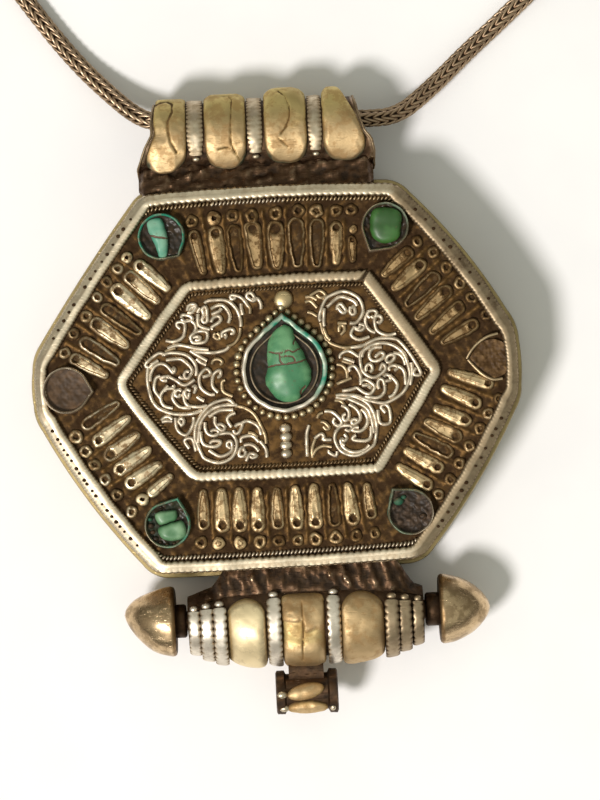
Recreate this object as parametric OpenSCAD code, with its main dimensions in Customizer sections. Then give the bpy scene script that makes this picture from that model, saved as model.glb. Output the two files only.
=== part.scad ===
// Amulet box pendant: a six-sided silver box that opens at the back, with a tube bail on top,
// a barrel with a knobbed pin below, set stones on the front, and a fine neck chain.
// Millimetres. The origin is the middle of the box's back, +X is to the viewer's right,
// +Y runs up to the bail and +Z comes out of the decorated front.

/* [Case] */
// Height of the front plate's face above the back
plate_z = 14; // [12:0.5:16]
// Thickness of the sheet that the box is made of
sheet = 0.8; // [0.6:0.1:1]
// Height of the seam between the front shell and the back cover
seam_z = 3; // [2.5:0.1:3.5]
// How far the cover's inner wall reaches up inside the shell
spigot_h = 5; // [4:0.5:6]
// Clearance between the cover's inner wall and the shell
spigot_gap = 0.15; // [0.1:0.05:0.2]
// How far the cover's rim stands out past the shell
rim_out = 0.9; // [0.6:0.1:1]

/* [Front bands] */
// Width of the milled band at the edge
outer_band_w = 1.9; // [1.6:0.1:2.1]
// Width of the milled band round the middle field
inner_band_w = 1.6; // [1.4:0.1:1.8]
// Height of both bands above the front plate
band_h = 1; // [0.8:0.1:1.2]
// Width of the rope wire beside each band
rope_w = 0.6; // [0.5:0.1:0.7]

/* [Settings] */
// Height of the small settings' walls
small_wall_h = 1.9; // [1.6:0.1:2.2]
// Height of the middle setting's wall
centre_wall_h = 2.4; // [2.2:0.1:2.8]
// Wall thickness of the small settings
small_wall = 0.4; // [0.3:0.05:0.5]
// Wall thickness of the middle setting
centre_wall = 0.7; // [0.6:0.1:0.8]

/* [Bail] */
// Bore of the bail tube, where the chain runs
bail_bore_r = 5.3; // [5:0.1:5.4]
// Outer radius of the bail tube under its gilt lobes
bail_r = 5.75; // [5.7:0.05:5.8]
// Outer radius of the gilt lobes at their crown
bail_lobe_r = 6.4; // [6.3:0.1:6.5]
// Height of the bail's axis above the back
bail_z = 7.5; // [7.4:0.1:8]

/* [Barrel and pin] */
// Height of the barrel's axis above the back
barrel_z = 7.6; // [7.5:0.1:8]
// Thickness of the barrel's sheet
barrel_sheet = 0.8; // [0.6:0.1:1]
// Radius of the turning pin
pin_r = 1.5; // [1.2:0.1:1.8]
// Radial clearance of the pin in the barrel's ends
pin_clearance = 0.05; // [0.03:0.01:0.08]
// Radius of the knobs at their widest
knob_r = 5.5; // [5.2:0.1:5.8]
// Length of a knob from its base to its tip
knob_l = 8; // [7.5:0.1:8.5]

/* [Hanging tube] */
// Bore of the small tube under the barrel
hang_bore_r = 2.2; // [2:0.1:2.4]
// Outer radius of the small tube
hang_r = 3.2; // [3.1:0.1:3.4]
// Length of the small tube
hang_l = 9.6; // [9:0.1:10]

/* [Chain] */
// Radius of the woven chain
chain_r = 1.4; // [1.3:0.05:1.45]

/* [Hidden] */

$fn = 48;
fit_gap = 0.05;
over = 1;

// Corners of the box's front, anticlockwise from the lower right: x, y, corner radius and
// the outward bulge of the side that follows.
CASE_CORNERS = [
    [36.8, -4.8, 6, 0.2],
    [36.7, 6.6, 7, 0.8],
    [20.0, 28.9, 4, 0.5],
    [-19.0, 28.9, 3, 0.3],
    [-36.6, 4.4, 6, 0.2],
    [-36.7, -4.8, 6, 0.8],
    [-20.4, -28.8, 4, 0.2],
    [21.4, -28.3, 4, 0.7],
];
// Corners of the middle field's band, in the same form.
FIELD_CORNERS = [
    [15.4, -15.5, 1.8, 0.1],
    [25.8, 0.3, 2.5, 0.1],
    [15.4, 15.5, 1, 0.2],
    [-13.2, 15.1, 3, 0.1],
    [-24.7, 0, 3, 0.2],
    [-13.0, -15.5, 3.6, 0.1],
];
// Small settings: name, x, y, inner radius, distance and direction of the drop's point.
SETTINGS = [
    ["upper_left", -16.4, 22.2, 3.2, 4.2, -50],
    ["upper_right", 17.8, 22.3, 3.3, 4.3, -124],
    ["left", -32.2, -0.5, 3.2, 3.8, -5],
    ["right", 33.2, 1.2, 3.0, 3.6, 178],
    ["lower_left", -17.7, -21.8, 3.2, 4.1, 66],
    ["lower_right", 19.6, -21.6, 3.2, 4.2, 126],
];
// Middle setting: x, y, inner radius, distance and direction of the point.
CENTRE = ["centre", 1.3, 1.1, 5.9, 7.7, 90];
pitch_h = 1;
// Grain above the middle setting and the bead column under it: x, y, radius.
GRAINS = [[1.7, 11.8, 1.5], [1, -8, 0.9], [1, -9.4, 0.9], [1, -10.8, 0.9], [1, -12.1, 0.8]];

// Bail: axis height on the front, and its slanting ends as seen from the front.
bail_y = 37.3;
BAIL_PLAN = [[-19.2, 28], [16.3, 28], [16.6, 32], [14.3, 44.5], [-16.6, 44.5], [-19.6, 32]];
bail_saddle_half = 2.9;
// Gilt lobes: start and end along the bail.
BAIL_LOBES = [[-18.2, -11.9], [-9.1, -2.9], [0.1, 6.5], [9, 15.3]];
// Silver strips between the lobes, and the angle from the front where lobes and strips end.
BAIL_STRIPS = [[-11.75, -9.9], [-2.6, -0.3], [6.75, 8.85]];
lobe_end = 56;
strip_r = 6.1;

// Barrel: axis, radius of its middle, and its core's radius at stations along it.
barrel_y = -37;
barrel_r = 6.5;
BARREL_CORE = [[-15.4, 3.8], [-12, 5], [-9.4, 5.8], [-3.6, barrel_r], [8.4, barrel_r],
    [14.8, 5.7], [18, 4.9], [21, 3.8]];
// Silver rings: middle, outer radius and width.
BARREL_RINGS = [[-14.4, 5.1, 1.7], [-12.5, 6.1, 1.8], [-10.5, 6.7, 1.8], [-2.1, 7.3, 2],
    [7.1, 7.3, 1.9], [15.95, 6.8, 1.9], [18.0, 6, 1.8], [20.05, 5.1, 1.6]];
LOBE_LEFT = [-9.3, -3.4];
LOBE_CENTRE = [-0.9, 5.6];
LOBE_RIGHT = [8.3, 14.8];
lobe_crown = 0.55;
lobe_rim = 0.25;
barrel_saddle_x = [-8, 16];
barrel_saddle_half = 3.8;
// Angle in front of the axis where the barrel's lobes start, towards the box.
barrel_lobe_start = 33;
axial_gap = 0.3;
collar_r = 2.6;
// Width of the left and the right collar.
collar_w = [1.6, 2.1];
knob_x = [barrel_start() - axial_gap - collar_w[0], barrel_end() + axial_gap + collar_w[1]];

hang_x = 2.4;
hang_y = -48.8;

// Route of the chain, clasp to clasp, anticlockwise seen from the front.
CHAIN_ROUTE = [[-4, 238, 1.8], [-8, 238, 1.8], [-14, 236.8, 1.6], [-24, 233, 1.4], [-38, 225, 1.4], [-51, 213, 1.4],
    [-61, 198, 1.4], [-68, 181, 1.4], [-72, 163, 1.4], [-72, 144, 1.4], [-69, 125, 1.4],
    [-63, 107, 1.4], [-55, 90, 1.4], [-45, 74, 1.4], [-35, 59, 1.4], [-29, 51, 1.6],
    [-24, 45.6, 3], [-20, 42, 4.9], [-17, 40.6, 5.8], [-12, 40.2, 6], [0, 40.1, 6],
    [12, 39.7, 5.9], [16, 39.5, 5.6], [21, 40.2, 4.3], [26, 43.8, 2.6], [32, 49.2, 1.6],
    [39, 55.2, 1.4], [50, 65, 1.4], [61, 76, 1.4], [71, 90, 1.4], [79, 106, 1.4],
    [84, 124, 1.4], [86, 143, 1.4], [84, 162, 1.4], [79, 180, 1.4], [71, 197, 1.4],
    [60, 212, 1.4], [47, 224, 1.4], [33, 232, 1.4], [22, 236.5, 1.6],
    [16, 238, 1.8], [12, 238, 1.8]];
chain_sides = 8;
chain_step = 9.6;
clasp_x = 4;
clasp_y = 238;
clasp_l = 16;
clasp_r = 1.8;

function barrel_start() = BARREL_CORE[0][0];
function barrel_end() = BARREL_CORE[len(BARREL_CORE) - 1][0];
function unit(v) = v / norm(v);
function left_of(v) = [-v[1], v[0]];
function flat(v) = [v[0], v[1]];
function around(list, i) = list[(i + len(list)) % len(list)];

// One corner of an outline drawn d inside its table: tangent points along an arc.
function corner_arc(table, i, d, steps = 4) =
    let (q = flat(around(table, i)),
        u = unit(q - flat(around(table, i - 1))),
        v = unit(flat(around(table, i + 1)) - q),
        nu = left_of(u),
        nv = left_of(v),
        mitre = (nu + nv) / (1 + nu * nv),
        r = max(around(table, i)[2] - d, 0.4),
        centre = q + mitre * (d + r),
        turn = acos(u * v),
        first = atan2(-nu[1], -nu[0]))
    [for (k = [0:steps]) centre + r * [cos(first + turn * k / steps), sin(first + turn * k / steps)]];

// The side after corner i, with its bulge, between the two corners' arcs.
function bulged_side(table, i, a, b, steps = 4) =
    let (out = -left_of(unit(b - a)),
        bulge = around(table, i)[3])
    [for (k = [1:steps - 1]) let (t = k / steps) a + (b - a) * t + out * bulge * 4 * t * (1 - t)];

// Closed outline of a corner table, d inside it.
function outline(table, d = 0) =
    let (arcs = [for (i = [0:len(table) - 1]) corner_arc(table, i, d)])
    [for (i = [0:len(table) - 1])
        let (here = arcs[i],
            next = around(arcs, i + 1))
        each concat(here, bulged_side(table, i, here[len(here) - 1], next[0]))];

// Drop-shaped outline: a circle and its two tangents to a point, grown by g.
function drop(s, g = 0, steps = 20) =
    let (r = s[3] + g,
        tip = s[4] + g * s[4] / s[3],
        half = acos(r / tip))
    concat([[tip, 0]], [for (k = [0:steps]) let (a = half + (360 - 2 * half) * k / steps) r * [cos(a), sin(a)]]);

module at_setting(s) {
    translate([s[1], s[2], plate_z])
        rotate([0, 0, s[5]])
            children();
}

module setting_wall(s, wall, height) {
    at_setting(s)
        difference() {
            linear_extrude(height)
                polygon(drop(s, wall));
            translate([0, 0, -over])
                linear_extrude(height + 2 * over)
                    polygon(drop(s));
        }
}

module pitch_bed(s) {
    color("#33241c")
        at_setting(s)
            linear_extrude(pitch_h)
                polygon(drop(s, -fit_gap));
}

module ring(table, from, to, height) {
    difference() {
        linear_extrude(height)
            polygon(outline(table, from));
        translate([0, 0, -over])
            linear_extrude(height + 2 * over)
                polygon(outline(table, to));
    }
}

// Solid turned about a line along X at height z on the front.
module along_x(y, z) {
    translate([0, y, z])
        rotate([0, 90, 0])
            children();
}

module cylinder_x(x0, x1, r) {
    translate([0, 0, x0])
        cylinder(h = x1 - x0, r = r);
}

module shell() {
    difference() {
        translate([0, 0, seam_z + fit_gap])
            linear_extrude(plate_z - seam_z - fit_gap)
                polygon(outline(CASE_CORNERS));
        translate([0, 0, seam_z - over])
            linear_extrude(plate_z - sheet - seam_z + over)
                polygon(outline(CASE_CORNERS, sheet));
    }
}

module bands() {
    translate([0, 0, plate_z]) {
        ring(CASE_CORNERS, 0, outer_band_w, band_h);
        ring(CASE_CORNERS, outer_band_w + 0.1, outer_band_w + 0.1 + rope_w, rope_w);
        ring(FIELD_CORNERS, 0, inner_band_w, band_h);
        ring(FIELD_CORNERS, inner_band_w + 0.1, inner_band_w + 0.1 + rope_w, rope_w);
    }
}

module grains() {
    for (g = GRAINS)
        translate([g[0], g[1], plate_z])
            difference() {
                sphere(r = g[2], $fn = 24);
                translate([0, 0, -2 * g[2] - sheet / 2])
                    cube(4 * g[2], center = true);
            }
}

module case_front() {
    color("silver") {
        shell();
        bands();
        for (s = SETTINGS)
            intersection() {
                setting_wall(s, small_wall, small_wall_h);
                translate([0, 0, plate_z])
                    linear_extrude(small_wall_h)
                        polygon(outline(CASE_CORNERS, 0.3));
            }
        setting_wall(CENTRE, centre_wall, centre_wall_h);
        grains();
    }
}

module back_cover() {
    color("peru")
        difference() {
            union() {
                linear_extrude(seam_z)
                    polygon(outline(CASE_CORNERS, -rim_out));
                linear_extrude(seam_z + spigot_h)
                    polygon(outline(CASE_CORNERS, sheet + spigot_gap));
            }
            translate([0, 0, sheet])
                linear_extrude(seam_z + spigot_h)
                    polygon(outline(CASE_CORNERS, 2 * sheet + spigot_gap));
        }
}

// A cut stone: a flat-based drop with a domed top.
module cabochon(length, width, height, taper = 0.6) {
    hull() {
        scale([width, length, 2 * height] / 2)
            half_ball();
        translate([0, length * 0.3, 0])
            scale([width * taper, length * 0.5, 2 * height * 0.8] / 2)
                half_ball();
    }
}

module half_ball() {
    difference() {
        sphere(r = 1, $fn = 24);
        translate([0, 0, -1])
            cube(2, center = true);
    }
}

module centre_stone() {
    color("mediumaquamarine")
        translate([1.7, 1, plate_z + pitch_h])
            cabochon(10, 7.2, 2.4);
}

module stone_upper_left() {
    color("mediumaquamarine")
        translate([-17, 21.9, plate_z + pitch_h])
            rotate([0, 0, 12])
                cabochon(5.8, 2.4, 1.3, 0.9);
}

module stone_upper_right() {
    color("forestgreen")
        translate([17.5, 22.2, plate_z + pitch_h])
            cabochon(5.4, 4.8, 1.3, 0.9);
}

module stone_lower_left() {
    color("seagreen")
        translate([-17.6, -22, plate_z + pitch_h])
            rotate([0, 0, 20])
                cabochon(5.2, 4.6, 1.4, 0.9);
}

module pitch_at(i) {
    intersection() {
        pitch_bed(SETTINGS[i]);
        translate([0, 0, plate_z])
            linear_extrude(pitch_h)
                polygon(outline(CASE_CORNERS, outer_band_w + rope_w + 0.2));
    }
}

module bail_ends(inset = 0) {
    translate([0, 0, -over])
        linear_extrude(plate_z + 2 * over)
            polygon([for (p = BAIL_PLAN) [p[0] - sign(p[0]) * inset, p[1]]]);
}

module bail() {
    color("dimgray")
        difference() {
            intersection() {
                union() {
                    along_x(bail_y, bail_z) {
                        cylinder_x(-20, 20, bail_r);
                        for (s = BAIL_STRIPS)
                            bail_strip(s);
                    }
                    translate([-20, bail_y - 10, bail_z - bail_saddle_half])
                        cube([40, 8, 2 * bail_saddle_half]);
                }
                bail_ends();
            }
            along_x(bail_y, bail_z)
                cylinder_x(-21, 21, bail_bore_r);
            translate([0, 0, -over])
                linear_extrude(plate_z + 2 * over)
                    polygon(outline(CASE_CORNERS, -fit_gap));
        }
}

// A strip of silver round the front and back of the bail tube.
module bail_strip(s) {
    rotate([0, 0, -lobe_end])
        rotate_extrude(angle = 180 + 2 * lobe_end)
            translate([bail_r - 0.2, s[0]])
                square([strip_r - bail_r + 0.2, s[1] - s[0]]);
}

// Section of a gilt lobe: bulged outside, following the inner radius r0 to r1 inside.
function lobe_section(span, inner0, inner1, rim, crown, steps = 6) =
    concat([[inner1, span[1]], [inner0, span[0]]],
        [for (k = [0:steps])
            let (t = k / steps,
                base = inner0 + (inner1 - inner0) * t)
            [base + rim + crown * 4 * t * (1 - t), span[0] + (span[1] - span[0]) * t]]);

module bail_lobe(i) {
    color("darkkhaki")
        intersection() {
            along_x(bail_y, bail_z)
                rotate([0, 0, -lobe_end])
                    rotate_extrude(angle = 180 + 2 * lobe_end)
                        polygon(lobe_section(BAIL_LOBES[i], bail_r + fit_gap, bail_r + fit_gap,
                            0.3, bail_lobe_r - bail_r - fit_gap - 0.3));
            bail_ends(0.1);
        }
}

module barrel() {
    color("dimgray")
        difference() {
            union() {
                along_x(barrel_y, barrel_z) {
                    rotate_extrude()
                        polygon(concat([[0, barrel_start()]], [for (s = BARREL_CORE) [s[1], s[0]]],
                            [[0, barrel_end()]]));
                    for (g = BARREL_RINGS)
                        cylinder_x(g[0] - g[2] / 2, g[0] + g[2] / 2, g[1]);
                }
                translate([barrel_saddle_x[0], barrel_y, barrel_z - barrel_saddle_half])
                    cube([barrel_saddle_x[1] - barrel_saddle_x[0], 9, 2 * barrel_saddle_half]);
            }
            along_x(barrel_y, barrel_z) {
                cylinder_x(barrel_start() - over, barrel_end() + over, pin_r + pin_clearance);
                rotate_extrude()
                    polygon(concat([[0, barrel_start() + barrel_sheet]],
                        [for (s = BARREL_CORE) [s[1] - barrel_sheet, s[0] + (s[0] > 0 ? -1 : 1) * barrel_sheet]],
                        [[0, barrel_end() - barrel_sheet]]));
            }
            translate([0, 0, -over])
                linear_extrude(plate_z + 2 * over)
                    polygon(outline(CASE_CORNERS, -fit_gap));
        }
}

module barrel_lobe(span) {
    color("darkkhaki")
        along_x(barrel_y, barrel_z)
            rotate([0, 0, 180 - barrel_lobe_start])
                rotate_extrude(angle = 180 + 2 * barrel_lobe_start)
                    polygon(lobe_section(span, lookup(span[0], BARREL_CORE) + fit_gap,
                        lookup(span[1], BARREL_CORE) + fit_gap, lobe_rim, lobe_crown));
}

module hanging_tube() {
    color("dimgray")
        difference() {
            union() {
                along_x(hang_y, barrel_z) {
                    cylinder_x(hang_x - hang_l / 2, hang_x + hang_l / 2, hang_r);
                    for (side = [-1, 1])
                        translate([0, 0, hang_x + side * (hang_l / 2 - 0.8) - 0.8])
                            cylinder(h = 1.6, r = hang_r + 0.3);
                }
                translate([hang_x - 2.7, hang_y, barrel_z - 2])
                    cube([5.4, 8, 4]);
            }
            along_x(hang_y, barrel_z)
                cylinder_x(hang_x - hang_l, hang_x + hang_l, hang_bore_r);
            along_x(barrel_y, barrel_z)
                cylinder_x(hang_x - hang_l, hang_x + hang_l, barrel_r + lobe_crown + lobe_rim + 2 * fit_gap);
        }
}

module pin_rod() {
    color("gray")
        along_x(barrel_y, barrel_z) {
            cylinder_x(knob_x[0], knob_x[1], pin_r);
            cylinder_x(knob_x[0], knob_x[0] + collar_w[0], collar_r);
            cylinder_x(knob_x[1] - collar_w[1], knob_x[1], collar_r);
        }
}

// A knob from its base on +X outwards: a rounded cone.
function knob_profile(steps = 10) =
    [for (k = [0:steps]) let (t = k / steps) [knob_r * pow(1 - pow(t, 1.9), 0.64), knob_l * t]];

module knob(side) {
    color("darkgoldenrod")
        along_x(barrel_y, barrel_z)
            translate([0, 0, knob_x[(side + 1) / 2]])
                rotate([90 - 90 * side, 0, 0])
                    rotate_extrude()
                        polygon(concat([[0, 0]], knob_profile()));
}

// Smooth point between b and c of four route points.
function between(a, b, c, d, t) =
    0.5 * (2 * b + (c - a) * t + (2 * a - 5 * b + 4 * c - d) * t * t
        + (3 * b - a - 3 * c + d) * t * t * t);

function chain_path(route) =
    let (last = len(route) - 1)
    concat(
        [for (i = [0:last - 1])
            let (n = ceil(norm(route[i + 1] - route[i]) / chain_step))
            each [for (k = [0:n - 1])
                between(route[max(i - 1, 0)], route[i], route[i + 1], route[min(i + 2, last)], k / n)]],
        [route[last]]);

function chain_ring(path, i) =
    let (last = len(path) - 1,
        ahead = unit(path[min(i + 1, last)] - path[max(i - 1, 0)]),
        side = unit(cross(ahead, [0, 0, 1])),
        up = cross(side, ahead))
    [for (k = [0:chain_sides - 1])
        let (a = 360 * (k + 0.5) / chain_sides)
        path[i] + chain_r * (cos(a) * side + sin(a) * up)];

module chain() {
    path = chain_path(CHAIN_ROUTE);
    rings = len(path);
    n = chain_sides;
    color("rosybrown")
        polyhedron(
            points = [for (i = [0:rings - 1]) each chain_ring(path, i)],
            faces = concat(
                [[for (k = [0:n - 1]) k]],
                [for (i = [0:rings - 2], k = [0:n - 1])
                    [i * n + k, (i + 1) * n + k, (i + 1) * n + (k + 1) % n, i * n + (k + 1) % n]],
                [[for (k = [0:n - 1]) rings * n - 1 - k]]));
}

module chain_clasp() {
    color("silver")
        along_x(clasp_y, clasp_r)
            cylinder_x(clasp_x - clasp_l / 2, clasp_x + clasp_l / 2, clasp_r);
}

case_front();
back_cover();
pitch_bed(CENTRE);  // centre_pitch
centre_stone();
pitch_at(0);  // pitch_upper_left
pitch_at(1);  // pitch_upper_right
pitch_at(2);  // pitch_left
pitch_at(3);  // pitch_right
pitch_at(4);  // pitch_lower_left
pitch_at(5);  // pitch_lower_right
stone_upper_left();
stone_upper_right();
stone_lower_left();
bail();
bail_lobe(0);  // bail_lobe_1
bail_lobe(1);  // bail_lobe_2
bail_lobe(2);  // bail_lobe_3
bail_lobe(3);  // bail_lobe_4
barrel();
barrel_lobe(LOBE_LEFT);  // barrel_lobe_left
barrel_lobe(LOBE_CENTRE);  // barrel_lobe_centre
barrel_lobe(LOBE_RIGHT);  // barrel_lobe_right
hanging_tube();
pin_rod();
knob(-1);  // knob_left
knob(1);  // knob_right
chain();
chain_clasp();
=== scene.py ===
"""Visual model of a six-sided silver amulet box on its woven neck chain.

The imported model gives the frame, the bodies and the bounds. Tools for shapes, node trees and
finishes come first. Each class after place() is one sub-assembly or a tool for some of them: its
fields are sizes in millimetres, read off the object, and its methods build shapes and hand them
to place(), which turns them into metres and fixes them to a body.
"""

from __future__ import annotations

import logging
import math
from dataclasses import dataclass, field, replace
from enum import Enum
from typing import Callable, Sequence

import bmesh
import bpy
import numpy as np
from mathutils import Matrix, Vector

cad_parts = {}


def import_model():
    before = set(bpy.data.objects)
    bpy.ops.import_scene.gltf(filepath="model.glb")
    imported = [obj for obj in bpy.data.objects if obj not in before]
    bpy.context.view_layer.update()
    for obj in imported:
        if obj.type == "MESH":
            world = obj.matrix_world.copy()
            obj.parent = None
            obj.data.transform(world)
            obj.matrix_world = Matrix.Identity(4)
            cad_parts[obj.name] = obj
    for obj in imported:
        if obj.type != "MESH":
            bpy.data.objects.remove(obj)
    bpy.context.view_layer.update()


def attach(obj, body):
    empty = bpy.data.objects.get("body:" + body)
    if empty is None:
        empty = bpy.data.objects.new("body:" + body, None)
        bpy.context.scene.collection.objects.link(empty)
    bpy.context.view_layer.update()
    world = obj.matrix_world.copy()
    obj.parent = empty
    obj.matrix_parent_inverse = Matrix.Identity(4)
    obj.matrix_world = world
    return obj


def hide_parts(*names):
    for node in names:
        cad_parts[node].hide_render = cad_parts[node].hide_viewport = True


LOG = logging.getLogger("amulet_box")
MM = 0.001
TURN = 2 * math.pi

Array = np.ndarray
Colour = tuple[float, float, float]
Point2 = tuple[float, float]
Point3 = tuple[float, float, float]
Point4 = tuple[float, float, float, float]
Node = bpy.types.Node
Socket = bpy.types.NodeSocket

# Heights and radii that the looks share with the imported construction.
PLATE_Z = 14.0
SEAM_Z = 3.0
SHEET = 0.8
BAND_H = 1.0
OUTER_BAND_W = 1.9
INNER_BAND_W = 1.6


class Body(Enum):
    """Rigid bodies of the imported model."""

    PENDANT = "pendant"
    COVER = "cover"
    PIN = "lock_pin"


def smoothstep(value: Array | float, low: float, high: float) -> Array:
    """Return 0 below low, 1 above high and a smooth rise between them."""
    t = np.clip((np.asarray(value, float) - low) / (high - low), 0.0, 1.0)
    return t * t * (3.0 - 2.0 * t)


def unit(vectors: Array) -> Array:
    """Return the vectors in the last axis at length 1."""
    return vectors / np.maximum(np.linalg.norm(vectors, axis=-1, keepdims=True), 1e-9)


def ray(angle: Array | float) -> Array:
    """Return the unit vector at an angle in the plan, in the last axis."""
    return np.stack([np.cos(angle), np.sin(angle)], -1)


def around(count: int) -> Array:
    """Return equal steps of one full turn."""
    return np.arange(count) * TURN / count


def ripple(points: Array, size: float, seed: int) -> Array:
    """Return a smooth uneven value from about -1 to 1 at each point.

    Args:
        points: Points, in millimetres, with the coordinates in the last axis.
        size: Rough distance between two bumps, in millimetres.
        seed: Fixed seed of the crossed waves.
    """
    rng = np.random.default_rng(seed)
    waves = unit(rng.normal(size=(10, points.shape[-1]))) * rng.uniform(0.55, 1.5, (10, 1)) * TURN / size
    phases = rng.uniform(0, TURN, 10)
    return np.clip(np.sin(points @ waves.T + phases).mean(axis=-1) * 2.2, -1.3, 1.3)


def smooth_line(points: Sequence[Sequence[float]], step: float, closed: bool = False) -> Array:
    """Return a Catmull-Rom line through the points.

    Args:
        points: Points the line passes through.
        step: Rough distance between two points of the result.
        closed: Whether the line returns to its first point.
    """
    p = np.asarray(points, float)
    count = len(p)
    made = []
    for i in range(count if closed else count - 1):
        places = (i - 1, i, i + 1, i + 2)
        a, b, c, d = (p[k % count if closed else min(max(k, 0), count - 1)] for k in places)
        n = max(1, math.ceil(np.linalg.norm(c - b) / step))
        t = (np.arange(n) / n)[:, None]
        made.append(0.5 * (2 * b + (c - a) * t + (2 * a - 5 * b + 4 * c - d) * t**2
                           + (3 * b - a - 3 * c + d) * t**3))
    if not closed:
        made.append(p[-1:])
    return np.concatenate(made)


def line_distance(points: Array, line: Sequence[Sequence[float]]) -> Array:
    """Return each point's distance from a line of two or more points.

    Args:
        points: Points in the plan.
        line: Two or more points, joined by straight stretches.
    """
    knots = np.asarray(line, float)
    found = []
    for start, end in zip(knots, knots[1:]):
        along = end - start
        t = np.clip((points - start) @ along / max(along @ along, 1e-9), 0, 1)
        found.append(np.linalg.norm(points - start - t[..., None] * along, axis=-1))
    return np.min(found, axis=0)


def with_height(plan: Array, height: Array | float) -> Array:
    """Return plan points (..., 2) with a height as their third coordinate."""
    heights = np.broadcast_to(height, plan.shape[:-1])
    return np.concatenate([plan, heights[..., None]], axis=-1)


def on_plate(plan: Array, height: Array | float) -> Array:
    """Return plan points with a height above the front plate."""
    return with_height(plan, PLATE_Z + height)


def link(name: str, data: bpy.types.ID) -> bpy.types.Object:
    """Return a new object of the scene that shows the data.

    Args:
        name: Name of the object.
        data: Its mesh, light or camera.
    """
    made = bpy.data.objects.new(name, data)
    bpy.context.scene.collection.objects.link(made)
    return made


class Shape:
    """Points, faces and finish masks of one piece while it is built, in millimetres.

    The masks are relief (0 in a recess, 1 on a worn high spot; on some pieces it also holds painted
    highlight and shade), gilt and stain. Each method that adds to the shape returns it.
    """

    MASKS = ("relief", "gilt", "stain")

    def __init__(self, crease_deg: float = 55.0) -> None:
        """Start with no points.

        Args:
            crease_deg: Angle between two faces past which their edge stays sharp.
        """
        self.crease_deg = crease_deg
        self.points: list[Array] = []
        self.faces: list[list[int]] = []
        self.masks: dict[str, list[Array]] = {name: [] for name in self.MASKS}
        self.count = 0

    def add(self, points: Array, faces: list, **masks: Array | float) -> Shape:
        """Add points with their faces, numbered from this call's first point.

        Args:
            points: Points, with the coordinates in the last axis.
            faces: Point numbers of each face.
            **masks: Values of the finish masks, one for all or one a point.
        """
        flat = np.asarray(points, float).reshape(-1, 3)
        self.faces += [[i + self.count for i in face] for face in faces]
        for name in self.MASKS:
            value = np.broadcast_to(np.asarray(masks.get(name, 0.0), float), np.shape(points)[:-1])
            self.masks[name].append(value.reshape(-1))
        self.points.append(flat)
        self.count += len(flat)
        return self

    def grid(self, rows: Array, loop_rows: bool = False, caps: bool = False, **masks: Array | float) -> Shape:
        """Join rows of points, each a closed ring, with four-sided faces.

        Args:
            rows: Points as rows, columns, 3.
            loop_rows: Whether the last row joins the first.
            caps: Whether the first and last rows are closed with one face each.
            **masks: Values of the finish masks, one for all or one a point.
        """
        nu, nv = rows.shape[:2]
        i = np.arange(nu if loop_rows else nu - 1)[:, None]
        j = np.arange(nv)[None, :]
        below, right = (i + 1) % nu, (j + 1) % nv
        corners = [i * nv + j, below * nv + j, below * nv + right, i * nv + right]
        faces = np.stack(np.broadcast_arrays(*corners), -1).reshape(-1, 4).tolist()
        if caps:
            faces.append(list(range(nv)))
            faces.append([(nu - 1) * nv + k for k in reversed(range(nv))])
        return self.add(rows, faces, **masks)

    def sheet(self, outer: Array, inner: Array, **masks: Array | float) -> Shape:
        """Add a closed sheet between an outer and an inner grid of the same shape.

        Args:
            outer: Outer points as rows, columns, 3.
            inner: Inner points, in the same order.
            **masks: Values of the finish masks on the outer side.
        """
        nu, nv = outer.shape[:2]
        net = np.arange(nu * nv).reshape(nu, nv)
        quads = [net[:-1, :-1], net[1:, :-1], net[1:, 1:], net[:-1, 1:]]
        faces = np.stack(quads, -1).reshape(-1, 4).tolist()
        faces += [[q + nu * nv for q in reversed(face)] for face in faces]
        border = np.concatenate([net[0, :-1], net[:-1, -1], net[-1, :0:-1], net[:0:-1, 0]])
        below = border + nu * nv
        n = len(border)
        faces += [[border[k], border[(k + 1) % n], below[(k + 1) % n], below[k]] for k in range(n)]
        doubled = {}
        for name, value in masks.items():
            top = np.broadcast_to(np.asarray(value, float), (nu, nv))
            doubled[name] = np.concatenate([top, top * 0.4])
        return self.add(np.concatenate([outer, inner]), faces, **doubled)

    def tube(self, line: Array, radius: Array | float, sides: int = 8, **masks: Array | float) -> Shape:
        """Add a closed tube with round section along a line.

        Args:
            line: Middle line of the tube.
            radius: One radius, or one a point.
            sides: Number of points round it.
            **masks: Values of the finish masks, one for all or one a point.
        """
        ahead = unit(np.gradient(line, axis=0))
        side = unit(np.cross(ahead, [0.0, 0.0, 1.0]))
        up = np.cross(side, ahead)
        radii = np.broadcast_to(radius, len(line))[:, None, None]
        a = around(sides)[None, :, None]
        ring = np.cos(a) * side[:, None] + np.sin(a) * up[:, None]
        return self.grid(line[:, None] + radii * ring, caps=True, **masks)

    def ball(self, centre: Sequence[float], radii: Sequence[float], sides: int = 14,
             **masks: Array | float) -> Shape:
        """Add an ellipsoid.

        Args:
            centre: Middle of the ellipsoid.
            radii: Half widths along x, y and z.
            sides: Number of points round it.
            **masks: Values of the finish masks, one for all or one a point.
        """
        polar = np.linspace(0.12, math.pi - 0.12, max(sides // 2, 5))[:, None, None]
        plan = np.sin(polar) * ray(around(sides))
        return self.grid(with_height(plan, np.cos(polar[..., 0])) * np.asarray(radii) + np.asarray(centre),
                         caps=True, **masks)

    def mound(self, plan: Array, height: Array, foot: float, **masks: Array | float) -> Shape:
        """Add a closed mound on the plate: rings of plan points at heights, the first one down to a foot.

        Args:
            plan: Rings of plan points, from the outer one inwards.
            height: Height of each point above the plate.
            foot: Height of the ring that closes it below.
            **masks: Values of the finish masks, one for all or one a point.
        """
        again = [0, *range(len(plan))]
        heights = height[again]
        heights[0] = foot
        spread = {name: np.broadcast_to(value, height.shape)[again] for name, value in masks.items()}
        return self.grid(on_plate(plan[again], heights), caps=True, **spread)

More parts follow.
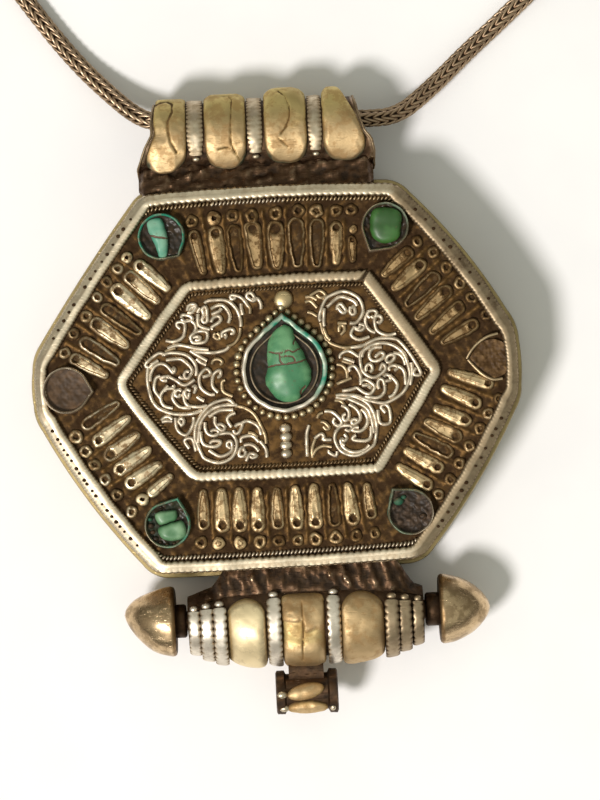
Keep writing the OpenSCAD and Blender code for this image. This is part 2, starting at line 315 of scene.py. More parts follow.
    def mesh(self, name: str) -> bpy.types.Mesh:
        """Return the shape as a Blender mesh in metres, closed up, with its masks as attributes.

        Args:
            name: Name of the mesh.
        """
        mesh = bpy.data.meshes.new(name)
        mesh.from_pydata((np.concatenate(self.points) * MM).tolist(), [], self.faces)
        for mask, values in self.masks.items():
            layer = mesh.attributes.new(mask, "FLOAT", "POINT")
            layer.data.foreach_set("value", np.concatenate(values).astype(np.float32))
        work = bmesh.new()
        work.from_mesh(mesh)
        bmesh.ops.remove_doubles(work, verts=work.verts, dist=0.002 * MM)
        bmesh.ops.recalc_face_normals(work, faces=work.faces)
        work.to_mesh(mesh)
        work.free()
        mesh.shade_smooth()
        mesh.set_sharp_from_angle(angle=math.radians(self.crease_deg))
        return mesh


@dataclass(frozen=True)
class Axis:
    """A line along X, at a height on the front and a height above the back."""

    y: float
    z: float

    def wrap(self, x: Array | float, angle: Array | float, radius: Array | float) -> Array:
        """Return points round the line; angle 0 faces the front, 90 degrees faces the bail's top."""
        x, angle, radius = np.broadcast_arrays(x, angle, radius)
        return np.stack([x, self.y + radius * np.sin(angle), self.z + radius * np.cos(angle)], -1)

    def turned(self, profile: Sequence[Point2], sides: int, relief: float | Sequence[float],
               dents: Callable[[Array, Array], Array] | None = None, crease_deg: float = 55.0) -> Shape:
        """Return a solid turned about the line.

        Args:
            profile: Position along X and radius, from one end to the other.
            sides: Number of points round it.
            relief: Relief mask, one value or one a row.
            dents: Radius added at a position and an angle.
            crease_deg: Crease of the shape.
        """
        table = np.asarray(profile, float)
        angle = around(sides)[None, :]
        x, radius = (np.broadcast_to(table[:, k:k + 1], (len(table), sides)) for k in (0, 1))
        if dents is not None:
            radius = radius + dents(x, angle)
        high = np.broadcast_to(np.reshape(relief, (-1, 1)), x.shape)
        return Shape(crease_deg).grid(self.wrap(x, angle, radius), caps=True, relief=high)


class Graph:
    """Adds nodes to a node tree and links them, so that a tree reads as a recipe."""

    def __init__(self, tree: bpy.types.NodeTree) -> None:
        """Work on one node tree."""
        self.tree = tree

    def feed(self, node: Node, values: dict) -> None:
        """Link or set some of a node's inputs: a socket is linked, and another value is set.

        Args:
            node: Node whose inputs are fed.
            values: Sockets and plain values, by the input's name or number.
        """
        for key, value in values.items():
            socket = node.inputs[key]
            if isinstance(value, Socket):
                self.tree.links.new(value, socket)
            elif socket.type == "RGBA" and len(value) == 3:
                socket.default_value = (*value, 1.0)
            else:
                socket.default_value = value

    def put(self, kind: str, values: dict | None = None, **settings: object) -> Node:
        """Add a node of a kind, with its properties set and its inputs fed.

        Args:
            kind: Type of the node.
            values: What its inputs are fed.
            **settings: Its properties.

        Returns:
            The new node.
        """
        node = self.tree.nodes.new(kind)
        for key, value in settings.items():
            setattr(node, key, value)
        self.feed(node, values or {})
        return node

    def out(self, kind: str, values: dict | None = None, **settings: object) -> Socket:
        """Add a node and return its first output."""
        return self.put(kind, values, **settings).outputs[0]

    def mix(self, factor: object, low: object, high: object) -> Socket:
        """Mix two colours."""
        return self.put("ShaderNodeMix", {0: factor, 6: low, 7: high}, data_type="RGBA").outputs[2]

    def times(self, a: object, b: object) -> Socket:
        """Multiply two values."""
        return self.out("ShaderNodeMath", {0: a, 1: b}, operation="MULTIPLY")

    def plus(self, a: object, b: object) -> Socket:
        """Add two values."""
        return self.out("ShaderNodeMath", {0: a, 1: b}, operation="ADD")

    def minus(self, a: object, b: object) -> Socket:
        """Take the second value from the first."""
        return self.out("ShaderNodeMath", {0: a, 1: b}, operation="SUBTRACT")

    def span(self, value: object, low: float, high: float, to: Point2 = (0.0, 1.0)) -> Socket:
        """Map a value from low..high to another span, clamped and smooth."""
        limits = {"From Min": low, "From Max": high, "To Min": to[0], "To Max": to[1]}
        return self.out("ShaderNodeMapRange", {"Value": value, **limits}, interpolation_type="SMOOTHSTEP")

    def noise(self, place: object, scale: object, detail: float = 3.0, rough: float = 0.55) -> Socket:
        """Return fractal noise at a place."""
        return self.out("ShaderNodeTexNoise", {"Vector": place, "Scale": scale, "Detail": detail,
                                               "Roughness": rough})

    def xyz(self, **values: object) -> Socket:
        """Join values to a vector."""
        return self.out("ShaderNodeCombineXYZ", values)

    def bump(self, height: Socket, depth: float, strength: float = 1.0) -> Socket:
        """Return the normal of a fine height, of a depth in millimetres."""
        return self.out("ShaderNodeBump", {"Strength": strength, "Distance": depth * MM, "Height": height})

    def mask(self, name: str) -> Socket:
        """Return a mask that the mesh carries."""
        return self.put("ShaderNodeAttribute", attribute_name=name).outputs["Fac"]

    def part(self, vector: Socket, axis: str) -> Socket:
        """Return one coordinate of a vector."""
        return self.put("ShaderNodeSeparateXYZ", {"Vector": vector}).outputs[axis]


def shader_group(name: str, inputs: dict[str, float],
                 fill: Callable[..., dict[str, Socket]]) -> bpy.types.NodeTree:
    """Return a shader group by name, built on first use.

    Args:
        name: Name of the group.
        inputs: Its value inputs with their defaults; a vector input named Place comes before them.
        fill: Function that takes a graph and the inputs' sockets and returns what each output is fed.
    """
    found = bpy.data.node_groups.get(name)
    if found:
        return found
    tree = bpy.data.node_groups.new(name, "ShaderNodeTree")
    tree.interface.new_socket("Place", in_out="INPUT", socket_type="NodeSocketVector")
    for key, value in inputs.items():
        socket = tree.interface.new_socket(key, in_out="INPUT", socket_type="NodeSocketFloat")
        socket.default_value = value
    graph = Graph(tree)
    given = graph.put("NodeGroupInput").outputs
    results = fill(graph, *(given[key] for key in ("Place", *inputs)))
    for key in results:
        tree.interface.new_socket(key, in_out="OUTPUT", socket_type="NodeSocketFloat")
    graph.put("NodeGroupOutput", results)
    return tree


def patina(graph: Graph, place: Socket, relief: Socket, uneven: Socket, scale: Socket) -> dict[str, Socket]:
    """Turn a relief mask into masks of clean metal, worn edges, blotches and mottling; where the relief holds
    painted highlight and shade, Clean and Bright carry them too.

    Args:
        graph: Graph of the group.
        place: Object coordinates.
        relief: Relief mask.
        uneven: How far the noise moves the mask.
        scale: Scale of the noise.

    Returns:
        The masks by name.
    """
    fine = graph.noise(place, scale, 4.0, 0.65)
    broad = graph.noise(place, graph.times(scale, 0.22), 2.0)
    swing = graph.minus(graph.plus(fine, graph.times(broad, 0.8)), 0.9)
    level = graph.plus(relief, graph.times(swing, uneven))
    spots = graph.noise(place, graph.times(scale, 0.7), 5.0, 0.72)
    return {"Clean": graph.span(level, 0.12, 0.5), "Bright": graph.span(level, 0.5, 0.95),
            "Blotch": graph.span(broad, 0.42, 0.6), "Mottle": graph.span(spots, 0.47, 0.6)}


def handwork(graph: Graph, place: Socket, scale: Socket, scratch: Socket) -> dict[str, Socket]:
    """Give hammered, scratched and grainy height.

    Args:
        graph: Graph of the group.
        place: Object coordinates.
        scale: Scale of the grain.
        scratch: Depth of the scratches.

    Returns:
        The height and the mask of the scratches, by name.
    """
    grain = graph.noise(place, scale, 3.0, 0.6)
    hammer = graph.noise(place, graph.times(scale, 0.3), 1.0)
    tilted = graph.out("ShaderNodeMapping", {"Vector": place, "Rotation": (0.2, 0.1, 0.7),
                                             "Scale": (1.0, 9.0, 4.0)})
    scratches = graph.span(graph.noise(tilted, graph.times(scale, 0.8), 2.0, 0.4), 0.62, 0.7)
    level = graph.plus(graph.times(hammer, 1.4), graph.times(grain, 0.5))
    return {"Height": graph.minus(level, graph.times(scratches, scratch)), "Scratches": scratches}


@dataclass(frozen=True)
class Finish:
    """A surface finish: its name, its record slot and the way its material is made."""

    name: str
    slot: str

    def material(self) -> bpy.types.Material:
        """Return the finish's material, made on first use."""
        name = f"{self.name}_finish"
        found = bpy.data.materials.get(name)
        if found:
            return found
        made = bpy.data.materials.new(name)
        made.use_nodes = True
        made.node_tree.nodes.clear()
        graph = Graph(made.node_tree)
        shader = graph.put("ShaderNodeBsdfPrincipled")
        graph.put("ShaderNodeOutputMaterial", {"Surface": shader.outputs["BSDF"]})
        graph.feed(shader, self.dress(graph, graph.put("ShaderNodeTexCoord").outputs["Object"]))
        return made

    def dress(self, graph: Graph, place: Socket) -> dict[str, object]:
        """Return what the shader's inputs are fed; each kind of finish has its own way.

        Args:
            graph: Graph of the material's tree.
            place: Object coordinates.
        """
        raise NotImplementedError


@dataclass(frozen=True)
class Metal(Finish):
    """Aged metal: grime in the recesses, a dull body and worn bright edges; where the relief mask holds
    painted highlight and shade, these colours paint them.
    """

    recess: Colour = (0.035, 0.022, 0.016)
    body: Colour = (0.33, 0.27, 0.2)
    bright: Colour = (0.78, 0.73, 0.64)
    gilt: Colour = (0.66, 0.5, 0.24)
    stain: Colour = (0.02, 0.24, 0.15)
    smooth: float = 0.3
    dull: float = 0.55
    uneven: float = 0.5
    patch: float = 900.0
    grain: float = 700.0
    depth: float = 0.05
    scratch: float = 0.4
    blotch: float = 0.28
    mottle: float = 0.2
    grime: Colour = (0.14, 0.085, 0.04)

    def dress(self, graph: Graph, place: Socket) -> dict[str, object]:
        """Mix the metal's colours, gloss and fine height from its masks.

        Args:
            graph: Graph of the material's tree.
            place: Object coordinates.

        Returns:
            What each of the shader's inputs is fed, by name.
        """
        aged = shader_group("aged_patina", {"Relief": 0.5, "Uneven": 0.5, "Scale": 900.0}, patina)
        made = shader_group("hand_work", {"Scale": 700.0, "Scratch": 0.4}, handwork)
        worn = {"Relief": graph.mask("relief"), "Uneven": self.uneven, "Scale": self.patch}
        age = graph.put("ShaderNodeGroup", {"Place": place, **worn}, node_tree=aged).outputs
        marks = {"Scale": self.grain, "Scratch": self.scratch}
        work = graph.put("ShaderNodeGroup", {"Place": place, **marks}, node_tree=made).outputs
        clean, bright = age["Clean"], age["Bright"]
        tone = graph.mix(bright, graph.mix(clean, self.recess, self.body), self.bright)
        gold = graph.times(graph.mask("gilt"), graph.span(clean, 0.1, 0.8))
        tone = graph.mix(gold, tone, self.gilt)
        dim = graph.times(age["Blotch"], self.blotch)
        tone = graph.mix(dim, tone, tuple(0.5 * c for c in self.body))
        dirt = graph.times(age["Mottle"], self.mottle)
        tone = graph.mix(dirt, tone, self.grime)
        edge = graph.span(graph.noise(place, self.patch * 0.5, 2.0), 0.35, 0.6, (0.45, 1.0))
        verdigris = graph.times(graph.mask("stain"), edge)
        bare = graph.span(verdigris, 0.2, 0.9, (1.0, 0.0))
        grimy = graph.plus(graph.span(clean, 0.0, 0.7, (0.2, 0.0)), graph.times(dirt, 0.25))
        rough = graph.plus(graph.span(bright, 0.0, 1.0, (self.dull, self.smooth)), grimy)
        return {"Base Color": graph.mix(verdigris, tone, self.stain),
                "Metallic": graph.times(graph.span(clean, 0.0, 0.9, (0.7, 1.0)), bare),
                "Roughness": graph.plus(rough, graph.times(work["Scratches"], 0.08)),
                "Normal": graph.bump(work["Height"], self.depth)}


@dataclass(frozen=True)
class Pitch(Finish):
    """Old dark pitch: lumpy, mostly dull, glossy in places, with a brown dust."""

    dark: Colour
    dust: Colour
    gloss: float
    lumpy: float
    sheen: float = 0.35

    def dress(self, graph: Graph, place: Socket) -> dict[str, object]:
        """Mix dust over the dark pitch and make it lumpy.

        Args:
            graph: Graph of the material's tree.
            place: Object coordinates.

        Returns:
            What each of the shader's inputs is fed, by name.
        """
        lumps = graph.noise(place, 900.0, 4.0, 0.6)
        spots = graph.noise(place, 350.0, 2.0)
        high = graph.span(graph.mask("relief"), 0.0, 1.0, (0.3, 1.0))
        shown = graph.times(graph.span(lumps, 0.4, 0.66), high)
        green = graph.times(graph.mask("stain"), graph.span(spots, 0.4, 0.55))
        return {"Base Color": graph.mix(green, graph.mix(shown, self.dark, self.dust), (0.015, 0.16, 0.09)),
                "Roughness": graph.span(spots, 0.42, 0.62, (self.gloss, 0.65)),
                "Specular IOR Level": self.sheen, "Normal": graph.bump(lumps, self.lumpy)}


@dataclass(frozen=True)
class Stone(Finish):
    """Polished stone with clouds of colour; its mesh's gilt mask draws the matrix veins."""

    pale: Colour
    deep: Colour
    vein: Colour = (0.12, 0.065, 0.038)
    clouds: float = 260.0

    def dress(self, graph: Graph, place: Socket) -> dict[str, object]:
        """Mix the stone's clouds and veins.

        Args:
            graph: Graph of the material's tree.
            place: Object coordinates.

        Returns:
            What each of the shader's inputs is fed, by name.
        """
        cloud = graph.noise(place, self.clouds, 3.0, 0.5)
        speck = graph.noise(place, self.clouds * 7, 2.0, 0.6)
        tone = graph.mix(graph.span(cloud, 0.38, 0.64), self.deep, self.pale)
        tone = graph.mix(graph.span(speck, 0.6, 0.72, (0.0, 0.3)), tone, self.vein)
        vein = graph.span(graph.mask("gilt"), 0.25, 0.75)
        height = graph.minus(graph.times(cloud, 0.5), vein)
        return {"Base Color": graph.mix(vein, tone, self.vein),
                "Roughness": graph.span(vein, 0.0, 1.0, (0.46, 0.6)),
                "Coat Weight": graph.span(vein, 0.0, 1.0, (0.06, 0.0)), "Coat Roughness": 0.2,
                "Normal": graph.bump(height, 0.06, 0.7)}


SILVER = Metal("worn_silver", "worn_silver", (0.06, 0.034, 0.014), (0.36, 0.27, 0.16), (0.68, 0.58, 0.44),
               smooth=0.36, dull=0.52)
BAND = Metal("band_silver", "worn_silver", (0.08, 0.05, 0.022), (0.46, 0.36, 0.235), (0.78, 0.68, 0.51),
             smooth=0.4, dull=0.5, scratch=0.15, mottle=0.35, grime=(0.3, 0.22, 0.13))
FRIEZE = Metal("stamped_frieze", "worn_silver", (0.05, 0.025, 0.008), (0.3, 0.19, 0.085), (0.72, 0.56, 0.35),
               gilt=(0.7, 0.53, 0.3), uneven=0.9, smooth=0.38, patch=1400.0, scratch=0.1, mottle=0.75,
               grime=(0.15, 0.078, 0.026))
FRIEZE_PALE = replace(FRIEZE, name="pale_frieze", recess=(0.05, 0.026, 0.009), body=(0.34, 0.24, 0.12),
                      bright=(0.88, 0.78, 0.6), gilt=(0.86, 0.72, 0.48), smooth=0.36,
                      grime=(0.19, 0.1, 0.035))
FRIEZE_DIM = replace(FRIEZE, name="dim_frieze", recess=(0.045, 0.022, 0.007), body=(0.24, 0.15, 0.065),
                     bright=(0.5, 0.37, 0.22), gilt=(0.5, 0.35, 0.18), smooth=0.4, grime=(0.11, 0.056, 0.018))
GROUND = Metal("dark_ground", "dark_silver", (0.045, 0.02, 0.005), (0.165, 0.092, 0.034), (0.34, 0.22, 0.11),
               smooth=0.5, dull=0.6, uneven=0.6, patch=1400.0, depth=0.08, scratch=0.0)
WIRE = Metal("filigree_wire", "worn_silver", (0.09, 0.05, 0.024), (0.4, 0.31, 0.215), (0.73, 0.63, 0.49),
             uneven=0.55, smooth=0.44, dull=0.58, patch=1500.0, mottle=0.35, grime=(0.24, 0.16, 0.09))
DIM_WIRE = Metal("dim_wire", "worn_silver", (0.05, 0.026, 0.01), (0.25, 0.17, 0.09), (0.5, 0.38, 0.23),
                 uneven=0.45, smooth=0.42, patch=1500.0)
ROPE = Metal("dark_rope", "dark_silver", (0.04, 0.02, 0.007), (0.1, 0.06, 0.028), (0.24, 0.165, 0.09),
             uneven=0.8, smooth=0.5, dull=0.62, patch=1500.0)
# Pale silver: the centre bezel's own pale ring, and on the barrel's left rings a painted highlight from the
# lamp.
PALE_AND_HIGHLIT_RING = Metal("pale_and_highlit_ring", "worn_silver", (0.09, 0.055, 0.025), (0.55, 0.45, 0.32), (0.86, 0.78, 0.66),
                  uneven=0.35, smooth=0.42, dull=0.5, depth=0.04, scratch=0.0)
GRAIN = Metal("dull_grain", "worn_silver", (0.06, 0.034, 0.014), (0.3, 0.22, 0.12), (0.56, 0.47, 0.3),
              uneven=1.3, smooth=0.45, dull=0.58, patch=220.0, mottle=0.3)
# Dull silver: the bail's rims, and on the barrel's right rings painted shade away from the lamp.
DULL_AND_SHADED = Metal("dull_and_shaded_silver", "worn_silver", (0.05, 0.03, 0.014), (0.24, 0.17, 0.1), (0.44, 0.34, 0.22),
             uneven=0.4, smooth=0.45)
SOLDER = Metal("blackened_solder", "dark_silver", (0.028, 0.016, 0.008), (0.1, 0.058, 0.034),
               (0.36, 0.25, 0.16), smooth=0.26, dull=0.5, uneven=0.65, depth=0.14)
GILT = Metal("worn_gilt", "gilt_sheet", (0.13, 0.08, 0.028), (0.5, 0.345, 0.155), (0.69, 0.505, 0.28),
             gilt=(0.62, 0.51, 0.21), stain=(0.022, 0.026, 0.01), smooth=0.56, dull=0.66, uneven=0.95,
             patch=620.0, depth=0.09, grain=900.0, scratch=0.15, blotch=0.35, mottle=0.45,
             grime=(0.38, 0.22, 0.085))
# Paler gilt for the barrel's left lobe: a painted highlight, the lamp's reflection on the lobe that leans
# towards it.
HIGHLIT_GILT = Metal("highlit_gilt", "gilt_sheet", (0.14, 0.09, 0.035), (0.6, 0.44, 0.21), (0.9, 0.75, 0.47),
                  smooth=0.5, dull=0.58, uneven=0.4, patch=650.0, depth=0.03, grain=450.0, scratch=0.1,
                  blotch=0.2)
KNOB = Metal("knob_gilt", "gilt_sheet", (0.035, 0.02, 0.008), (0.3, 0.19, 0.09), (0.68, 0.5, 0.3),
             smooth=0.24, dull=0.4, uneven=0.7, patch=700.0, scratch=0.5, blotch=0.35, mottle=0.5,
             grime=(0.15, 0.09, 0.038))
BRASS = Metal("aged_brass", "aged_brass", (0.06, 0.034, 0.01), (0.26, 0.18, 0.078), (0.46, 0.36, 0.175),
              smooth=0.34, dull=0.5, patch=400.0, grain=500.0)
CHAIN = Metal("woven_wire", "woven_chain", (0.034, 0.018, 0.01), (0.165, 0.096, 0.055), (0.49, 0.355, 0.235),
              smooth=0.35, dull=0.5, patch=700.0, depth=0.03)
CLASP = Metal("clasp_silver", "worn_silver", uneven=0.4)
PITCH = Pitch("old_pitch", "dark_pitch", (0.016, 0.011, 0.006), (0.07, 0.038, 0.018), 0.34, 0.04, 0.28)
BROWN_PITCH = Pitch("brown_pitch", "dark_pitch", (0.05, 0.027, 0.012), (0.16, 0.088, 0.04), 0.58, 0.02)
AMBER_PITCH = Pitch("amber_pitch", "dark_pitch", (0.06, 0.03, 0.01), (0.25, 0.145, 0.062), 0.5, 0.02, 0.15)
DUSTY_PITCH = Pitch("dusty_pitch", "dark_pitch", (0.022, 0.014, 0.009), (0.15, 0.095, 0.06), 0.45, 0.03, 0.2)
TURQUOISE = Stone("turquoise", "turquoise", (0.135, 0.32, 0.15), (0.05, 0.19, 0.085))
PALE_TURQUOISE = Stone("pale_turquoise", "turquoise", (0.2, 0.4, 0.28), (0.06, 0.26, 0.17))
OLD_TURQUOISE = Stone("old_turquoise", "turquoise", (0.2, 0.34, 0.19), (0.06, 0.17, 0.07),
                      vein=(0.05, 0.03, 0.015))
GREEN_STONE = Stone("green_stone", "green_stone", (0.04, 0.13, 0.025), (0.02, 0.075, 0.012), clouds=320.0)


def place(name: str, made: Shape | bpy.types.Mesh, finish: Finish, node: str = "case_front",
          body: Body = Body.PENDANT) -> bpy.types.Object:
    """Make a finished piece, on its body, and report it.

    Args:
        name: Piece name.
        made: Its shape, or its mesh in metres, in the object's frame.
        finish: Finish of the whole piece.
        node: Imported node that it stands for.
        body: Body that it moves with.

    Returns:
        The new object.
    """
    mesh = made.mesh(name) if isinstance(made, Shape) else made
    mesh.materials.clear()
    mesh.materials.append(finish.material())
    piece = link(name, mesh)
    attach(piece, body.value)
    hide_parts(node)
    LOG.info("%s: %d triangles, %s", name, sum(len(f.vertices) - 2 for f in mesh.polygons), finish.name)
    return piece


class Grower:
    """A Geometry Nodes tree that grows a mesh along a route, with named inputs."""

    KINDS = {float: "NodeSocketFloat", int: "NodeSocketInt", bpy.types.Material: "NodeSocketMaterial"}

    def __init__(self, name: str, inputs: dict[str, type]) -> None:
        """Start a tree whose route comes in as the edges of a mesh.

        Args:
            name: Name of the tree.
            inputs: Kind of each named input; a material input named Finish comes last.
        """
        self.tree = bpy.data.node_groups.new(name, "GeometryNodeTree")
        self.tree.interface.new_socket("Route", in_out="INPUT", socket_type="NodeSocketGeometry")
        for key, kind in {**inputs, "Finish": bpy.types.Material}.items():
            self.tree.interface.new_socket(key, in_out="INPUT", socket_type=self.KINDS[kind])
        self.tree.interface.new_socket("Geometry", in_out="OUTPUT", socket_type="NodeSocketGeometry")
        self.graph = Graph(self.tree)
        self.given = self.graph.put("NodeGroupInput").outputs
        self.route = self.graph.out("GeometryNodeMeshToCurve", {"Mesh": self.given["Route"]})

    def metres(self, key: str) -> Socket:
        """Return a length input in metres."""
        return self.graph.times(self.given[key], MM)

    def steps(self) -> Socket:
        """Return the route cut into even steps of its pitch."""
        route = {"Curve": self.route, "Length": self.metres("Pitch")}
        return self.graph.out("GeometryNodeResampleCurve", route, mode="LENGTH")

    def aim(self, ahead: str, up: str) -> Socket:
        """Return the turn that points one axis along the route and another one up."""
        axes = {"Primary Axis": self.graph.out("GeometryNodeInputTangent"), "Secondary Axis": (0.0, 0.0, 1.0)}
        return self.graph.out("FunctionNodeAxesToRotation", axes, primary_axis=ahead, secondary_axis=up)

    def wire(self, curve: Socket, sides: object, radius: str) -> Socket:
        """Return round wire along a curve.

        Args:
            curve: Middle line of the wire.
            sides: Number of points round it.
            radius: Name of the input that holds its radius.
        """
        section = {"Resolution": sides, "Radius": self.metres(radius)}
        profile = self.graph.out("GeometryNodeCurvePrimitiveCircle", section)
        return self.graph.out("GeometryNodeCurveToMesh", {"Curve": curve, "Profile Curve": profile,
                                                          "Fill Caps": True})

    def along(self, instance: Socket, turn: Socket, **values: Socket) -> Socket:
        """Set an instance at each even step of the route."""
        return self.graph.out("GeometryNodeInstanceOnPoints", {
            "Points": self.steps(), "Instance": instance, "Rotation": turn, **values})

    def relief(self, geometry: Socket, value: Socket) -> Socket:
        """Store a relief mask on the geometry.

        Args:
            geometry: Geometry that carries the mask.
            value: Relief of each point.

        Returns:
            The geometry with its mask.
        """
        return self.graph.out("GeometryNodeStoreNamedAttribute",
                              {"Geometry": geometry, "Name": "relief", "Value": value},
                              data_type="FLOAT", domain="POINT")

    def worn_and_lit_top(self, low: float, high: float) -> Socket:
        """Return a relief value that rises as the surface turns upwards: wear on the tops, with painted
        highlight on top and painted shade on the sides and undersides.
        """
        up = self.graph.part(self.graph.out("GeometryNodeInputNormal"), "Z")
        return self.graph.span(up, low, high, (0.1, 1.0))

    def close(self, geometry: Socket) -> Grower:
        """End the tree: realize the instances and set the material.

        Args:
            geometry: Geometry that the tree has grown.

        Returns:
            The grower itself.
        """
        real = self.graph.out("GeometryNodeRealizeInstances", {"Geometry": geometry})
        soft = self.graph.out("GeometryNodeSetShadeSmooth", {"Geometry": real})
        dress = {"Geometry": soft, "Material": self.given["Finish"]}
        self.graph.put("NodeGroupOutput", {"Geometry": self.graph.out("GeometryNodeSetMaterial", dress)})
        return self

    def lay(self, name: str, lines: Sequence[Array], finish: Finish, node: str = "case_front",
            closed: bool = False, **values: float) -> None:
        """Grow the tree along lines given in millimetres and place the result as a plain mesh.

        Args:
            name: Name of the piece.
            lines: Routes, each an array of points.
            finish: Finish whose material the tree sets.
            node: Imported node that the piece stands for.
            closed: Whether the routes are closed.
            **values: The tree's named inputs, with lengths in millimetres.
        """
        edges: list[tuple[int, int]] = []
        start = 0
        for line in lines:
            n = len(line)
            edges += [(start + i, start + (i + 1) % n) for i in range(n if closed else n - 1)]
            start += n
        route = bpy.data.meshes.new(name)
        route.from_pydata((np.concatenate(lines) * MM).tolist(), edges, [])
        base = link(name + "_route", route)
        modifier = base.modifiers.new("grow", "NODES")
        modifier.node_group = self.tree
        wanted = {**values, "Finish": finish.material()}
        for item in self.tree.interface.items_tree:
            if item.in_out == "INPUT" and item.name in wanted:
                modifier[item.identifier] = wanted[item.name]
        graph = bpy.context.evaluated_depsgraph_get()
        made = bpy.data.meshes.new_from_object(base.evaluated_get(graph), depsgraph=graph)
        base.modifiers.remove(modifier)
        bpy.data.objects.remove(base)
        place(name, made, finish, node)


def bead_grower() -> Grower:
    """Build the tree that sets beads along a route: bead rings, ropes and milled wire.

    Returns:
        The tree, ready to lay.
    """
    shares = dict.fromkeys(("Pitch", "Radius", "Stretch", "Squash", "Slant", "Jitter"), float)
    grower = Grower("bead_row", {**shares, "Seed": int})
    graph, given = grower.graph, grower.given
    bead = {"Segments": 10, "Rings": 6, "Radius": grower.metres("Radius")}
    # The beads' relief rises on their upper sides: painted highlight on top and painted shade below, along
    # with wear.
    ball = grower.relief(graph.out("GeometryNodeMeshUVSphere", bead), grower.worn_and_lit_top(-0.5, 0.7))
    lean = graph.out("FunctionNodeEulerToRotation", {"Euler": graph.xyz(Z=given["Slant"])})
    turn = graph.out("FunctionNodeRotateRotation", {"Rotation": grower.aim("X", "Z"), "Rotate By": lean},
                     rotation_space="LOCAL")
    draw = {2: graph.minus(1.0, given["Jitter"]), 3: graph.plus(1.0, given["Jitter"]), "Seed": given["Seed"]}
    chance = graph.put("FunctionNodeRandomValue", draw, data_type="FLOAT").outputs[1]
    sizes = {0: graph.xyz(X=given["Stretch"], Y=1.0, Z=given["Squash"]), "Scale": chance}
    scale = graph.out("ShaderNodeVectorMath", sizes, operation="SCALE")
    return grower.close(grower.along(ball, turn, Scale=scale))


def wire_grower() -> Grower:
    """Build the tree that draws round wire along a route."""
    grower = Grower("drawn_wire", {"Radius": float, "Sides": int})
    wire = grower.wire(grower.route, grower.given["Sides"], "Radius")
    # The wire's relief rises on its upper side: painted highlight on top and painted shade on its flanks,
    # along with wear.
    return grower.close(grower.relief(wire, grower.worn_and_lit_top(-0.9, 0.2)))


def weave_grower() -> Grower:
    """Build the tree that weaves a herringbone chain along a route: four columns of leaning strands.

    Returns:
        The tree, ready to lay.
    """
    grower = Grower("herringbone_weave", dict.fromkeys(("Pitch", "Core", "Crown", "Lean", "Wire"), float))
    graph = grower.graph
    eighth = math.pi / 4
    knots = (("Start", "Core", 0.04, -0.5), ("Middle", "Crown", eighth / 2, 0.0),
             ("End", "Core", eighth, 0.5))
    join = graph.put("GeometryNodeJoinGeometry")
    for side in (-1.0, 1.0):
        strand = {"Resolution": 4}
        for knot, reach, angle, share in knots:
            out, ahead = grower.metres(reach), grower.metres("Lean")
            strand[knot] = graph.xyz(X=graph.times(out, math.cos(angle)), Z=graph.times(ahead, share),
                                     Y=graph.times(out, side * math.sin(angle)))
        graph.feed(join, {0: graph.out("GeometryNodeCurveQuadraticBezier", strand)})
    pair = grower.wire(join.outputs[0], 5, "Wire")
    flat = graph.out("ShaderNodeVectorMath", {0: graph.out("GeometryNodeInputPosition"), 1: (1.0, 1.0, 0.0)},
                     operation="MULTIPLY")
    reach = graph.put("ShaderNodeVectorMath", {0: flat}, operation="LENGTH").outputs["Value"]
    pair = grower.relief(pair, graph.span(reach, 0.85 * MM, 1.36 * MM, (0.05, 1.0)))
    spots = graph.out("GeometryNodeMeshLine", {"Count": 4, "Offset": (0.0, 0.0, 0.0)})
    quarter = graph.times(graph.out("GeometryNodeInputIndex"), math.pi / 2)
    turned = graph.out("FunctionNodeEulerToRotation", {"Euler": graph.xyz(Z=quarter)})
    ring = graph.out("GeometryNodeInstanceOnPoints", {"Points": spots, "Instance": pair, "Rotation": turned})
    ring = graph.out("GeometryNodeRealizeInstances", {"Geometry": ring})
    return grower.close(grower.along(ring, grower.aim("Z", "X")))


@dataclass(frozen=True)
class Outline:
    """Closed outline with rounded corners and slightly bulged sides.

    A corner is x, y, corner radius and the outward bulge of the side that follows; they run
    anticlockwise.
    """

    corners: tuple[Point4, ...]
    arc_steps: int = 12
    side_step: float = 0.17
    least_radius: float = 0.4

    def curve(self, inset: float = 0.0) -> Array:
        """Return the outline that lies inset inside this one, with as many points at any inset.

        Args:
            inset: Distance inwards; outwards where it is negative.
        """
        table = np.asarray(self.corners, float)
        q = table[:, :2]
        sides = np.roll(q, -1, axis=0) - q
        arcs = []
        for i, v in enumerate(unit(sides)):
            u = unit(sides[i - 1])
            radius = max(table[i, 2] - inset, self.least_radius)
            inward = np.array([-u[1] - v[1], u[0] + v[0]]) / (1 + u @ v)
            turn = math.acos(np.clip(u @ v, -1, 1)) * np.linspace(0, 1, self.arc_steps + 1)
            arcs.append(q[i] + inward * (inset + radius) + radius * ray(math.atan2(-u[0], u[1]) + turn))
        made = []
        for i, side in enumerate(sides):
            a, b = arcs[i][-1], arcs[(i + 1) % len(arcs)][0]
            ahead = unit(b - a)
            n = math.ceil(np.linalg.norm(side) / self.side_step)
            t = (np.arange(1, n) / n)[:, None]
            bulge = np.array([ahead[1], -ahead[0]]) * table[i, 3]
            made += [arcs[i], a + (b - a) * t + bulge * 4 * t * (1 - t)]
        return np.concatenate(made)

    def along(self, values: Sequence[float]) -> Array:
        """Return a value at each point, blended at the corners.

        Args:
            values: One value a side.
        """
        table = np.asarray(self.corners, float)[:, :2]
        line = self.curve()
        ways = [np.arctan2(v[:, 1], v[:, 0]) for v in (np.roll(line, -1, axis=0) - np.roll(line, 1, axis=0),
                                                       np.roll(table, -1, axis=0) - table)]
        return np.interp(*ways, values, period=TURN)


